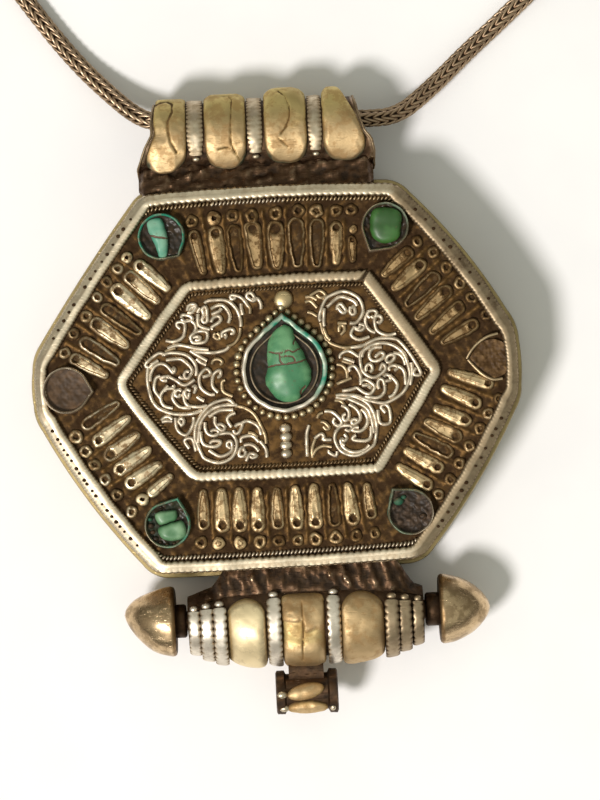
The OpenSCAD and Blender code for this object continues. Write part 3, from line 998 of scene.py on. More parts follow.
CASE = Outline(((37.0, -4.7, 6, 0.2), (36.9, 6.3, 7, 0.8), (20.0, 28.9, 4, 0.5), (-19.4, 28.9, 3, 0.3),
                (-36.8, 4.6, 6, 0.2), (-36.9, -4.5, 6, 0.8), (-20.1, -29.3, 4, 0.2), (21.2, -28.8, 4, 0.7)))
FIELD = Outline(((15.4, -15.5, 1.8, 0.1), (25.7, 0.1, 2.5, 0.1), (15.0, 15.7, 1, 0.2), (-13.5, 15.3, 3, 0.1),
                 (-25.2, -0.1, 3, 0.2), (-13.6, -15.5, 3.6, 0.1)))


@dataclass
class Case:
    """The box's front shell: walls, dark stamped ground and the two milled bands.

    A band's section has rows of inset, height, relief and share of the teeth. Wear, with painted
    shade on the sides that face away from the lamp, and extra width are given for each side of
    its outline, in the order of the corners.
    """

    wall_rows: int = 14
    wave: float = 0.07
    tooth: float = 1.0
    tooth_depth: float = 0.2
    ground_spokes: int = 820
    ground_rings: int = 56
    middle: Point2 = (0.5, 0.0)
    ribs: list[tuple[Point2, Point2]] = field(default_factory=list)
    outer_section: tuple[Point4, ...] = (
        (-0.06, -0.2, 0.2, 1), (-0.06, 0.22, 0.4, 1), (0.04, 0.42, 0.9, 1), (0.2, 0.56, 0.95, 0.35),
        (0.5, 0.74, 0.84, 0), (0.8, 0.92, 0.8, 0), (0.92, 1.01, 0.86, 0), (1.05, 1.06, 0.95, 0),
        (1.4, 1.08, 0.88, 0), (1.66, 1.06, 0.95, -0.3), (1.82, 0.98, 0.8, -1), (1.94, 0.7, 0.3, -1),
        (1.94, -0.2, 0.1, -1))
    inner_section: tuple[Point4, ...] = (
        (-0.06, -0.2, 0.2, 1), (-0.06, 0.6, 0.35, 1), (0.04, 0.92, 0.8, 1), (0.22, 1.02, 0.97, 0.35),
        (0.5, 1.07, 0.9, 0), (1.0, 1.08, 0.87, 0), (1.36, 1.05, 0.95, -0.35), (1.52, 0.96, 0.75, -1),
        (1.64, 0.6, 0.3, -1), (1.64, -0.2, 0.1, -1))
    joint: tuple[Point2, Point2] = ((15.4, 16.4), (13.8, 14.2))
    # Share of wear on each side; the low values on the sides away from the lamp are painted shade as well as
    # wear.
    outer_wear_and_shade: tuple[float, ...] = (0.55, 0.36, 0.95, 0.95, 0.85, 1.0, 0.92, 0.45)
    outer_extra: tuple[float, ...] = (-0.1, 0.55, 0.05, 0.4, -0.1, 0.6, -0.05, 0.55)
    # Share of wear on each side; the low values on the sides away from the lamp are painted shade as well as
    # wear.
    inner_wear_and_shade: tuple[float, ...] = (0.95, 0.55, 0.7, 1.15, 1.1, 0.95)
    inner_extra: tuple[float, ...] = (0.05, 0.5, 0.0, 0.05, 0.0, 0.0)
    # Rows of punched dots: first and last dot and their number.
    dots: tuple[tuple[Point2, Point2, int], ...] = (
        ((-20.8, 24.8), (-28.6, 15.2), 9), ((-30.2, 12.6), (-33.6, 7.2), 5), ((22.8, 24.5), (27.5, 18.3), 5),
        ((29.0, 16.4), (33.3, 10.8), 4), ((-35.0, -7.0), (-27.5, -17.7), 13),
        ((-26.4, -18.8), (-22.3, -24.2), 7), ((34.2, -8.0), (29.6, -14.9), 6),
        ((28.3, -17.5), (23.6, -24.1), 7))

    def shell(self) -> Shape:
        """Return the walls and the plate, open at the back."""
        levels = [(SHEET, PLATE_Z - SHEET), (SHEET, SEAM_Z + 0.05), (0.0, SEAM_Z + 0.05)]
        levels += [(0.0, z) for z in np.linspace(SEAM_Z + 0.2, PLATE_Z - 0.05, self.wall_rows)]
        rows = np.array([with_height(CASE.curve(inset), z) for inset, z in levels])
        out = rows[2, :, :2] - rows[1, :, :2]
        push = self.wave * ripple(rows[3:], 7.0, 11)[..., None] * out[None] / SHEET
        rows[3:, :, :2] += np.minimum(push, 0.0) - np.maximum(push, 0.0) * 0.4
        relief = np.full(rows.shape[:2], 0.42)
        relief[:2] = 0.34
        relief[2:4] = 0.75
        relief[-2:] = 0.6
        return Shape().grid(rows, caps=True, relief=relief)

    def band(self, outline: Outline, section: Sequence[Point4], wears_and_shade: Sequence[float],
             extras: Sequence[float]) -> Shape:
        """Return a milled band along an outline, toothed at its edges.

        Args:
            outline: Outline that it follows.
            section: Its rows, from the outer edge to the inner one.
            wears_and_shade: Share of wear of each side, lower on the sides away from the lamp as painted
                shade.
            extras: Extra width of each side.
        """
        width = section[-1][0]
        # The side's share lowers the relief on the sides away from the lamp: painted shade along with wear.
        wear_and_shade, extra = outline.along(wears_and_shade), outline.along(extras)
        outer = outline.curve()
        inward = (outline.curve(width) - outer) / width
        ahead = np.roll(outer, -1, axis=0) - outer
        length = np.linalg.norm(ahead, axis=1)
        run = np.cumsum(length) - length
        level = smoothstep(np.abs(ahead[:, 0]) / length, 0.8, 0.97)
        tooth = np.abs(np.sin(math.pi * run / self.tooth)) ** 0.6
        fine = np.abs(np.sin(math.pi * run / 0.55)) ** 0.8
        notch = level * self.tooth_depth * (1 - tooth) + (1 - level) * 0.09 * (1 - fine)
        wander = 0.05 * ripple(outer, 5.0, 21)
        rows, relief = [], []
        for inset, height, high, bite in section:
            plan = outer + inward * (inset * (1 + extra / width) + bite * notch + wander)[:, None]
            height = height + 0.6 * level * max(1.02 - height, 0.0) * (0.1 < inset < 0.95)
            gap = np.exp(-((line_distance(plan, self.joint) / 0.17) ** 2))
            lift = (height > 0) * (0.05 * ripple(outer, 9.0, 23) - 0.7 * abs(bite) * notch - 0.7 * gap)
            rows.append(on_plate(plan, height + lift))
            relief.append(np.clip(high * wear_and_shade - 2.6 * abs(bite) * notch - gap, 0.0, 1.0))
        return Shape().grid(np.array(rows), loop_rows=True, relief=np.array(relief))

    def crossed(self, line: Array) -> Array:
        """Return where even spokes from the middle cross a closed line.

        Args:
            line: Closed line round the middle.
        """
        rel = line - self.middle
        at = np.arctan2(rel[:, 1], rel[:, 0])
        order = np.argsort(at)
        angles = np.linspace(-math.pi, math.pi, self.ground_spokes, endpoint=False)
        reach = np.interp(angles, at[order], np.hypot(rel[:, 0], rel[:, 1])[order], period=TURN)
        return self.middle + reach[:, None] * ray(angles)

    def ground(self) -> Shape:
        """Return the dark ground between the bands, with ribs between the leaves."""
        outer, inner = self.crossed(CASE.curve(OUTER_BAND_W - 0.3)), self.crossed(FIELD.curve(0.3))
        share = np.linspace(0, 1, self.ground_rings)[:, None, None]
        plan = outer * (1 - share) + inner * share
        height = 0.1 * ripple(plan, 2.0, 31) + 0.04 * ripple(plan, 0.8, 32)
        ridge = np.zeros(plan.shape[:2])
        for rib in self.ribs:
            reach = np.exp(-((line_distance(plan, rib) / 0.33) ** 2))
            ridge = np.maximum(ridge, reach * (0.75 + 0.25 * ripple(plan, 1.1, 33)))
        rows = np.concatenate([on_plate(plan[:1], -0.1), on_plate(plan, 0.12 + height + 0.4 * ridge),
                               on_plate(plan[-1:], -0.1)])
        relief = np.clip(0.19 + 0.38 * ridge + 1.4 * height, 0.0, 1.0)
        return Shape().grid(rows, loop_rows=True, relief=relief[[0, *range(len(relief)), -1]])

    def field(self) -> Shape:
        """Return the pitted dark ground of the middle field."""
        edge = FIELD.curve(INNER_BAND_W - 0.3)[::3]
        plan = self.middle + (edge - self.middle) * np.linspace(1.0, 0.12, 44)[:, None, None]
        height = 0.07 * ripple(plan, 2.2, 41) + 0.03 * ripple(plan, 0.7, 42)
        return Shape().mound(plan, 0.1 + height, -0.1, relief=np.clip(0.3 + 1.8 * height, 0, 1))

    def punched_dots(self) -> Shape:
        """Return the punched dots along the bevel's edge on the band's slanting sides."""
        shape = Shape()
        edge = CASE.curve(0.9)
        rng = np.random.default_rng(5)
        for start, end, count in self.dots:
            for t in np.linspace(0, 1, count):
                near = np.array(start) * (1 - t) + np.array(end) * t + rng.uniform(-0.3, 0.3, 2)
                x, y = edge[np.argmin(np.linalg.norm(edge - near, axis=1))] + rng.uniform(-0.08, 0.08, 2)
                size = rng.uniform(0.22, 0.36)
                shape.ball((x, y, PLATE_Z + BAND_H), (size, size * 0.85, 0.15), sides=10, relief=0.1)
        return shape

    def build(self) -> None:
        """Make the case's pieces."""
        place("case_shell", self.shell(), SILVER)
        place("outer_band", self.band(CASE, self.outer_section, self.outer_wear_and_shade, self.outer_extra), BAND)
        place("inner_band", self.band(FIELD, self.inner_section, self.inner_wear_and_shade, self.inner_extra), BAND)
        place("frieze_ground", self.ground(), GROUND)
        place("field_ground", self.field(), GROUND)
        place("band_dots", self.punched_dots(), GROUND)


class Look(Enum):
    """How a stamped leaf or ring is worn.

    The values are fill height, fill relief, fill gilt, rim relief, rim gilt and the pit's share of
    the half width.
    """

    GILT = (0.82, 0.92, 0.9, 0.8, 0.7, 0.5)
    SOLID = (0.82, 0.92, 0.9, 0.8, 0.8, 0.0)
    HALF = (0.6, 0.62, 0.6, 0.85, 0.4, 0.6)
    LINE = (0.12, 0.1, 0.0, 0.9, 0.15, 0.0)
    DIM = (0.16, 0.16, 0.0, 0.5, 0.1, 0.0)
    AMBER = (0.5, 0.48, 0.9, 0.7, 0.3, 0.5)


# Short names of the looks, for the tables of the frieze.
G, S, H, L, D, A = Look.GILT, Look.SOLID, Look.HALF, Look.LINE, Look.DIM, Look.AMBER


@dataclass
class FriezeSide:
    """One side of the stamped frieze.

    A leaf is the middle of its round outer end, its tip, its width and its look; a ring is its
    middle, its radius and its look.
    """

    name: str
    leaves: Sequence[tuple[float, float, float, float, float, Look]]
    rings: Sequence[tuple[float, float, float, Look]]
    finish: Metal = FRIEZE

    def ribs(self) -> list[tuple[Point2, Point2]]:
        """Return the ribs that stand between neighbouring leaves."""
        found = []
        for a, b in zip(self.leaves, self.leaves[1:]):
            start, end = np.add(a[:4], b[:4]).reshape(2, 2) / 2
            found.append((start + (start - end) * 0.45, end + (start - end) * 0.08))
        return found

    def rim(self, start: Array, tip: Array, width: float) -> tuple[Array, Array, Array, float]:
        """Return the way round a leaf, or round a ring where start and tip are the same point.

        Args:
            start: Middle of the round outer end.
            tip: Tip of the leaf.
            width: Width at the outer end.

        Returns:
            The middles of the rim's arcs, the outward directions, the radii and the half width.
        """
        length = float(np.linalg.norm(tip - start))
        wide = (0.53 if length else 0.56) * width
        ahead = (tip - start) / length if length else np.array([1.0, 0.0])
        across = np.array([-ahead[1], ahead[0]])
        narrow = max(0.42, wide * 0.62) if length else wide
        far = tip - ahead * narrow if length else start
        steps = np.concatenate([np.linspace(0.05, 0.25, 5), np.linspace(0.34, 0.93, 6)])[:, None]
        steps = steps if length else steps[:0]
        flank = wide + (narrow - wide) * steps + 0.14 * wide * np.sin(math.pi * steps)
        back = ray(np.radians(np.linspace(90, 270, 15)))
        front = ray(np.radians(np.linspace(-90, 90, 9 if length else 15)))
        runs = ((start, back @ (ahead, across), wide), (start + (far - start) * steps, -across, flank),
                (far, front @ (ahead, across), narrow),
                (start + (far - start) * steps[::-1], across, flank[::-1]))
        parts = [np.broadcast_arrays(spot, normal, radius) for spot, normal, radius in runs]
        spot, normal, radius = (np.concatenate(column) for column in zip(*parts))
        return spot, normal, radius[:, :1], wide

    def stamp(self, shape: Shape, start: Array, tip: Array, width: float, look: Look, seed: int) -> None:
        """Add one leaf, or a ring where start and tip are the same point.

        Args:
            shape: Shape that it is added to.
            start: Middle of the round outer end.
            tip: Tip of the leaf.
            width: Width at the outer end.
            look: How it is worn.
            seed: Seed of its uneven rim and height.
        """
        fill, fill_relief, fill_gilt, rim_relief, rim_gilt, pit = look.value
        leaf = bool((tip != start).any())
        spot, normal, radius, wide = self.rim(start, tip, width)
        radius = radius * (1 + (0.06 if leaf else 0.12) * ripple(spot + normal * radius, 1.6, seed)[:, None])
        rise = np.random.default_rng(seed).uniform(-0.06, 0.08)
        rim = min(0.42, wide * 0.5) if leaf else wide * 0.62
        shine = 1.0 if leaf else 0.75
        section = [(-0.36, -0.2, 0.04, 0.0), (-0.2, 0.15, 0.06, 0.0), (-0.07, 0.42, 0.35, 0.3),
                   (0.07, 0.6, 0.85, 1.0), (rim * 0.62, 0.68, 1.0, 1.0),
                   (rim, max(0.5, 0.86 * fill), max(0.6, fill_relief), 0.6)]
        rows, relief, gilt = [], [], []
        for inset, height, high, gold in section:
            plan = spot + normal * np.maximum(radius - inset, 0.0)
            rows.append(on_plate(plan, height + rise * (height > 0)))
            relief.append(np.full(len(spot), high * rim_relief * shine))
            gilt.append(np.full(len(spot), gold * rim_gilt))
        for part in (0.2, 0.45, 0.7, 1.0):
            plan = spot + normal * np.maximum(radius - rim, 0.0) * (1 - part)
            grown = np.ones(len(spot))
            if pit:
                grown = smoothstep(np.linalg.norm(plan - start, axis=1), pit * wide * 0.75, pit * wide * 1.25)
            rows.append(on_plate(plan, 0.08 + (fill + rise - 0.08) * grown))
            relief.append(0.06 + (fill_relief - 0.06) * grown)
            gilt.append(fill_gilt * grown)
        points = np.array(rows)
        plan = points[1:, :, :2]
        plan += 0.05 * np.stack([ripple(plan, 1.7, 51), ripple(plan, 1.7, 52)], -1)
        points[2:, :, 2] += 0.05 * ripple(points[2:, :, :2], 1.6, 53)
        shape.grid(points, relief=np.array(relief), gilt=np.array(gilt), caps=True)

    def build(self, seed: int) -> None:
        """Make this side's piece.

        Args:
            seed: First seed of the leaves; the rings start 40 after it.
        """
        shape = Shape()
        for i, (x0, y0, x1, y1, width, look) in enumerate(self.leaves):
            self.stamp(shape, np.array([x0, y0]), np.array([x1, y1]), width, look, seed + i)
        for i, (x, y, radius, look) in enumerate(self.rings):
            spot = np.array([x, y])
            self.stamp(shape, spot, spot, 2 * radius, look, seed + 40 + i)
        place(f"frieze_{self.name}", shape, self.finish)


FRIEZE_SIDES = (
    FriezeSide("top", (
        (-11.5, 22.2, -10.3, 16.2, 1.6, H), (-8.2, 22.4, -7.6, 16.1, 2.2, G),
        (-5.4, 22.5, -4.9, 16.3, 2.1, D), (-2.5, 22.8, -2.0, 16.6, 2.4, A),
        (1.0, 22.6, 1.0, 16.4, 2.4, H), (4.2, 23.0, 4.1, 16.6, 2.4, L), (7.4, 22.8, 7.0, 16.4, 2.2, L),
        (10.3, 22.4, 10.1, 16.7, 1.8, G), (12.6, 20.4, 12.6, 17.0, 1.1, H)), (
        (-11.8, 24.4, 0.8, A), (-8.3, 24.7, 0.95, G), (-5.5, 25.0, 0.85, D), (-2.5, 24.8, 0.9, D),
        (1.2, 25.0, 0.9, L), (4.6, 25.3, 0.9, D), (7.4, 25.1, 0.95, L), (10.4, 25.0, 0.8, L),
        (12.7, 25.0, 0.8, D), (12.9, 22.0, 0.55, S)), FRIEZE_DIM),
    FriezeSide("upper_left", (
        (-20.0, 18.0, -15.6, 14.0, 1.9, G), (-21.5, 16.3, -17.3, 12.2, 2.0, H),
        (-23.5, 14.3, -18.9, 9.9, 2.3, G), (-25.4, 11.6, -20.3, 7.6, 1.9, D),
        (-27.0, 9.4, -22.3, 5.7, 2.1, H), (-28.8, 6.6, -23.9, 3.1, 2.0, L),
        (-30.5, 4.2, -25.7, 1.3, 1.8, H)), (
        (-22.0, 19.4, 0.75, G), (-23.4, 17.7, 0.75, L), (-25.2, 15.8, 0.8, D), (-26.8, 13.5, 0.75, L),
        (-28.6, 10.7, 0.8, L), (-30.6, 8.2, 0.75, D), (-32.1, 5.3, 0.75, L)), FRIEZE_PALE),
    FriezeSide("upper_right", (
        (21.0, 18.0, 16.9, 14.6, 1.8, A), (22.8, 16.0, 18.4, 12.4, 2.0, G),
        (24.8, 13.9, 20.3, 9.9, 2.1, L), (26.6, 11.8, 21.7, 7.8, 2.0, H), (28.4, 9.3, 23.8, 5.5, 1.9, A),
        (30.4, 6.5, 25.5, 3.9, 1.8, H)), (
        (22.6, 19.6, 0.7, L), (25.0, 17.9, 0.8, L), (26.9, 15.5, 0.85, D), (28.8, 13.0, 0.85, L),
        (30.6, 10.7, 0.85, D), (32.6, 8.0, 0.8, D)), FRIEZE_DIM),
    FriezeSide("lower_left", (
        (-29.2, -5.8, -24.2, -2.7, 1.8, L), (-27.6, -8.4, -22.6, -4.9, 1.9, G),
        (-25.9, -10.6, -21.3, -7.6, 2.0, H), (-24.5, -12.9, -19.6, -9.9, 2.0, G),
        (-22.9, -15.1, -18.2, -12.3, 2.0, G), (-19.8, -16.7, -16.6, -14.2, 1.5, S)), (
        (-31.1, -7.7, 0.95, L), (-29.7, -10.0, 0.85, L), (-28.4, -12.1, 0.8, D), (-26.9, -14.4, 0.8, L),
        (-25.2, -16.9, 0.8, D), (-23.1, -19.5, 0.8, L), (-21.3, -17.8, 0.85, G)), FRIEZE_PALE),
    FriezeSide("bottom", (
        (-12.2, -22.0, -12.0, -16.7, 1.7, H), (-9.3, -22.3, -9.2, -16.6, 2.1, G),
        (-6.6, -22.4, -6.5, -16.6, 2.1, G), (-3.8, -22.5, -3.7, -16.7, 2.0, G),
        (-0.8, -22.4, -0.8, -16.9, 1.8, H), (2.1, -22.5, 2.1, -16.7, 2.0, G),
        (5.0, -22.5, 4.9, -16.6, 2.0, G), (7.9, -22.4, 7.7, -16.7, 1.8, D),
        (10.7, -22.2, 10.1, -16.7, 2.0, G), (13.5, -21.6, 13.0, -16.9, 1.6, H)), (
        (-12.7, -24.8, 0.8, L), (-10.0, -25.0, 0.85, S), (-6.8, -25.1, 0.85, S), (-3.7, -25.1, 0.85, H),
        (-0.8, -25.1, 0.8, D), (2.1, -25.1, 0.75, L), (4.9, -25.1, 0.9, L), (7.9, -25.0, 0.9, L),
        (11.1, -24.9, 0.8, D), (13.9, -24.6, 0.75, D))),
    FriezeSide("lower_right", (
        (32.4, -2.6, 26.3, -0.4, 1.7, G), (30.3, -5.4, 25.2, -2.8, 1.9, G),
        (28.6, -8.0, 23.8, -5.8, 1.9, G), (27.0, -10.4, 22.3, -7.7, 2.0, A),
        (25.6, -12.7, 20.5, -9.8, 1.9, L), (24.0, -15.0, 19.0, -12.0, 1.9, G),
        (22.3, -17.6, 17.7, -14.4, 1.8, G)), (
        (33.9, -5.0, 0.7, D), (32.2, -7.2, 0.8, L), (30.8, -9.5, 0.8, D), (29.1, -12.0, 0.8, L),
        (27.4, -14.6, 0.8, L), (25.9, -17.0, 0.75, D), (24.0, -19.2, 0.75, L))),
)


@dataclass
class Setting:
    """A drop-shaped setting: its wall, the pitch in it and what is left of its stone."""

    name: str
    x: float
    y: float
    radius: float
    tip: float
    turn_deg: float
    wall: float = 0.3
    height: float = 1.9
    # Direction, amount and spread of the green stain on the wall.
    stain: Point3 = (0.0, 0.0, 1.0)
    whole: bool = True
    pitch_z: float = 1.0
    pitch_stain: float = 0.0
    finish: Metal = WIRE
    bed: Pitch = PITCH
    lumps: float = 1.0
    inner_ring: float = 0.0
    # Lumps lying on the pitch: x, y, radius and green stain.
    blobs: tuple[Point4, ...] = ()

    def drop(self, grow: float = 0.0) -> Array:
        """Return the drop's outline, grown by a distance.

        Args:
            grow: Distance outwards, measured on the round end.
        """
        half = math.acos(self.radius / self.tip)
        arc = self.radius * ray(np.linspace(half, TURN - half, 72))
        t = np.linspace(0, 1, 12)[1:, None]
        peak = np.array([[self.tip, 0.0]])
        line = np.concatenate([peak, peak + (arc[0] - peak) * t, arc[1:-1],
                               arc[-1] + (peak - arc[-1]) * t[:-1]])
        axes = ray(np.radians([self.turn_deg, self.turn_deg + 90]))
        return line @ axes * (1 + grow / self.radius) + (self.x, self.y)

    def bezel(self) -> Shape:
        """Return the wall of the setting, with its hammered rim."""
        wall, top = self.wall, self.height
        section = ((wall + 0.12, -0.1, 0.1), (wall + 0.03, 0.3, 0.3), (wall, top - 0.4, 0.7),
                   (wall * 0.86, top - 0.1, 1.0), (wall / 2, top, 1.0), (0.04, top - 0.12, 0.8),
                   (-0.04, top - 0.5, 0.3), (-0.02, -0.1, 0.1))
        line = self.drop()
        out = line - (self.x, self.y)
        uneven = ripple(line, 2.4, 61)
        rows = []
        for grow, height, _ in section:
            plan = self.drop(grow) + out * (0.012 * uneven * (height > 0.5))[:, None]
            rows.append(on_plate(plan, height + 0.08 * uneven * (height > 1)))
        towards, amount, spread = self.stain
        green = amount * smoothstep(unit(out) @ ray(math.radians(towards)), spread - 0.5, spread + 0.2)
        shape = Shape().grid(np.array(rows), loop_rows=True, relief=np.array(section)[:, 2:], stain=green)
        if self.inner_ring:
            ring = on_plate(self.drop(-self.inner_ring), self.pitch_z + 0.5)
            shape.tube(np.concatenate([ring, ring[:1]]), 0.15, relief=0.25)
        return shape

    def pitch(self) -> Shape:
        """Return the lumpy pitch inside the wall."""
        middle = np.array([self.x, self.y])
        share = np.linspace(1.0, 0.04, 22)[:, None, None]
        plan = middle + (self.drop(-0.03) - middle) * share
        height = self.lumps * (0.16 * ripple(plan, 1.5, 71) + 0.1 * ripple(plan, 0.8, 72))
        height -= 0.25 * (1 - share[..., 0] ** 2)
        shape = Shape().mound(plan, self.pitch_z + height, -0.05, relief=np.clip(0.5 + 2 * height, 0, 1),
                              stain=self.pitch_stain)
        for x, y, size, green in self.blobs:
            shape.ball((x, y, PLATE_Z + self.pitch_z), (size, size * 0.8, size), relief=0.9, stain=green)
        return shape

    def build(self) -> None:
        """Make the wall and the pitch."""
        if self.whole:
            place(f"bezel_{self.name}", self.bezel(), self.finish)
        node = "centre_pitch" if self.name == "centre" else f"pitch_{self.name}"
        place(f"{node}_bed", self.pitch(), self.bed, node)


SETTINGS = (
    Setting("upper_left", -16.5, 22.3, 3.25, 3.7, -50, stain=(100, 1.0, -0.7), lumps=0.6),
    Setting("upper_right", 17.8, 22.3, 3.3, 4.3, -124, stain=(40, 0.5, 0.5)),
    Setting("left", -32.2, -0.5, 3.2, 3.8, -5, wall=0.38, height=1.7, pitch_z=0.8, bed=BROWN_PITCH,
            lumps=0.3),
    Setting("right", 33.2, 1.2, 3.0, 3.6, 178, whole=False, pitch_z=0.7, bed=AMBER_PITCH, lumps=0.8),
    Setting("lower_left", -17.7, -21.8, 3.2, 4.1, 66, stain=(20, 0.9, -0.6), pitch_stain=0.08,
            blobs=((-20.2, -21.8, 0.5, 0), (-20.0, -22.8, 0.4, 0), (-19.6, -23.8, 0.5, 0),
                   (-18.9, -24.5, 0.35, 0), (-17.9, -24.8, 0.4, 0), (-16.8, -24.7, 0.35, 0),
                   (-20.3, -20.8, 0.4, 0.5), (-18.6, -19.0, 0.35, 0))),
    Setting("lower_right", 19.6, -21.6, 3.2, 4.2, 126, stain=(160, 0.55, -0.2), bed=DUSTY_PITCH,
            lumps=0.8, blobs=((17.8, -19.9, 0.8, 0.55), (18.6, -19.3, 0.45, 0.5), (21.4, -22.4, 0.6, 0.0))),
)
CENTRE = Setting("centre", 1.3, 1.1, 5.9, 7.7, 90, wall=0.7, height=2.4, stain=(40, 1.0, 0.3),
                 finish=PALE_AND_HIGHLIT_RING, lumps=0.35, inner_ring=0.75)


@dataclass
class CutStone:
    """A domed stone of free outline, with matrix veins drawn as lines on its top."""

    name: str
    node: str
    finish: Finish
    height: float
    outline: Sequence[Point2]
    veins: Sequence[Sequence[Point2]] = ()
    vein_width: float = 0.16
    vein_depth: float = 0.1
    roundness: float = 2.6
    base: float = 0.9

    def build(self) -> None:
        """Make the stone."""
        edge = smooth_line(self.outline, 0.22, closed=True)
        middle = edge.mean(axis=0)
        share = np.sin(np.linspace(1, 0.03, 34) * math.pi / 2)[:, None, None]
        plan = middle + (edge - middle) * share
        plan = plan + 0.05 * np.stack([ripple(plan, 1.6, 81), ripple(plan, 1.6, 82)], -1) * share
        dome = (1 - share[..., 0] ** self.roundness) ** 0.55
        vein = np.zeros(plan.shape[:2])
        for line in self.veins:
            near = line_distance(plan, smooth_line(line, 0.3)) + 0.04 * ripple(plan, 0.8, 83)
            vein = np.maximum(vein, 1 - smoothstep(near, self.vein_width * 0.5, self.vein_width * 1.4))
        top = 0.35 + (self.height - 0.35) * dome + 0.05 * ripple(plan, 2.5, 84) - self.vein_depth * vein
        shape = Shape().mound(plan, self.base + top, self.base - 0.4, relief=0.8, gilt=vein)
        place(self.name, shape, self.finish, self.node)


STONES = (
    CutStone("centre_turquoise", "centre_stone", TURQUOISE, 2.2, (
        (1.3, 7.9), (-0.1, 6.9), (-0.9, 5.5), (-1.2, 3.7), (-1.2, 1.6), (-1.6, 0.1), (-1.5, -1.2),
        (-0.8, -2.4), (0.2, -3.5), (1.7, -4.0), (3.2, -3.7), (4.1, -2.4), (5.2, -1.0), (5.4, 0.8), (4.9, 2.1),
        (4.3, 3.7), (3.4, 5.2), (3.0, 6.8), (2.3, 7.7)), (
            ((-1.4, 1.5), (0.2, 1.8), (2.0, 1.9), (3.5, 2.1), (5.1, 2.6)),
            ((-0.9, 3.9), (0.3, 3.6), (1.3, 3.7), (2.1, 4.0), (2.8, 3.7), (3.8, 4.2)),
            ((1.0, 3.0), (1.8, 3.1), (2.8, 2.9), (3.0, 2.2), (2.0, 2.0)),
            ((0.7, 3.5), (0.8, 2.3), (1.2, 1.9)), ((3.4, 5.8), (3.0, 5.3), (2.9, 4.9)),
            ((4.4, -1.6), (3.8, -2.2), (3.7, -2.9))), 0.13),
    CutStone("upper_left_turquoise", "stone_upper_left", PALE_TURQUOISE, 1.3, (
        (-18.3, 24.8), (-16.5, 25.1), (-15.8, 23.4), (-15.5, 21.5), (-15.8, 19.3), (-16.9, 19.1),
        (-17.4, 20.7), (-18.0, 22.2), (-18.5, 23.5)), (((-18.4, 22.6), (-17.0, 22.2), (-15.6, 22.0)),)),
    CutStone("upper_right_stone", "stone_upper_right", GREEN_STONE, 1.3, (
        (16.4, 25.0), (15.6, 23.8), (15.5, 21.8), (16.1, 20.3), (17.6, 19.6), (19.4, 20.0), (20.1, 21.2),
        (20.3, 22.5), (20.4, 23.8), (19.6, 24.7), (18.3, 25.1)), roundness=5.0),
    CutStone("lower_left_upper_piece", "stone_lower_left", OLD_TURQUOISE, 1.25, (
        (-19.5, -20.1), (-19.3, -21.2), (-18.7, -21.8), (-17.6, -21.5), (-16.4, -21.1), (-16.1, -20.5),
        (-16.4, -19.6), (-17.7, -19.6), (-18.7, -19.7)), roundness=5.0),
    CutStone("lower_left_lower_piece", "stone_lower_left", OLD_TURQUOISE, 1.35, (
        (-19.1, -22.3), (-18.1, -21.8), (-16.5, -21.3), (-15.3, -21.4), (-14.8, -22.8), (-15.1, -23.8),
        (-16.2, -24.2), (-17.8, -24.2), (-18.8, -23.6)), roundness=5.0),
)


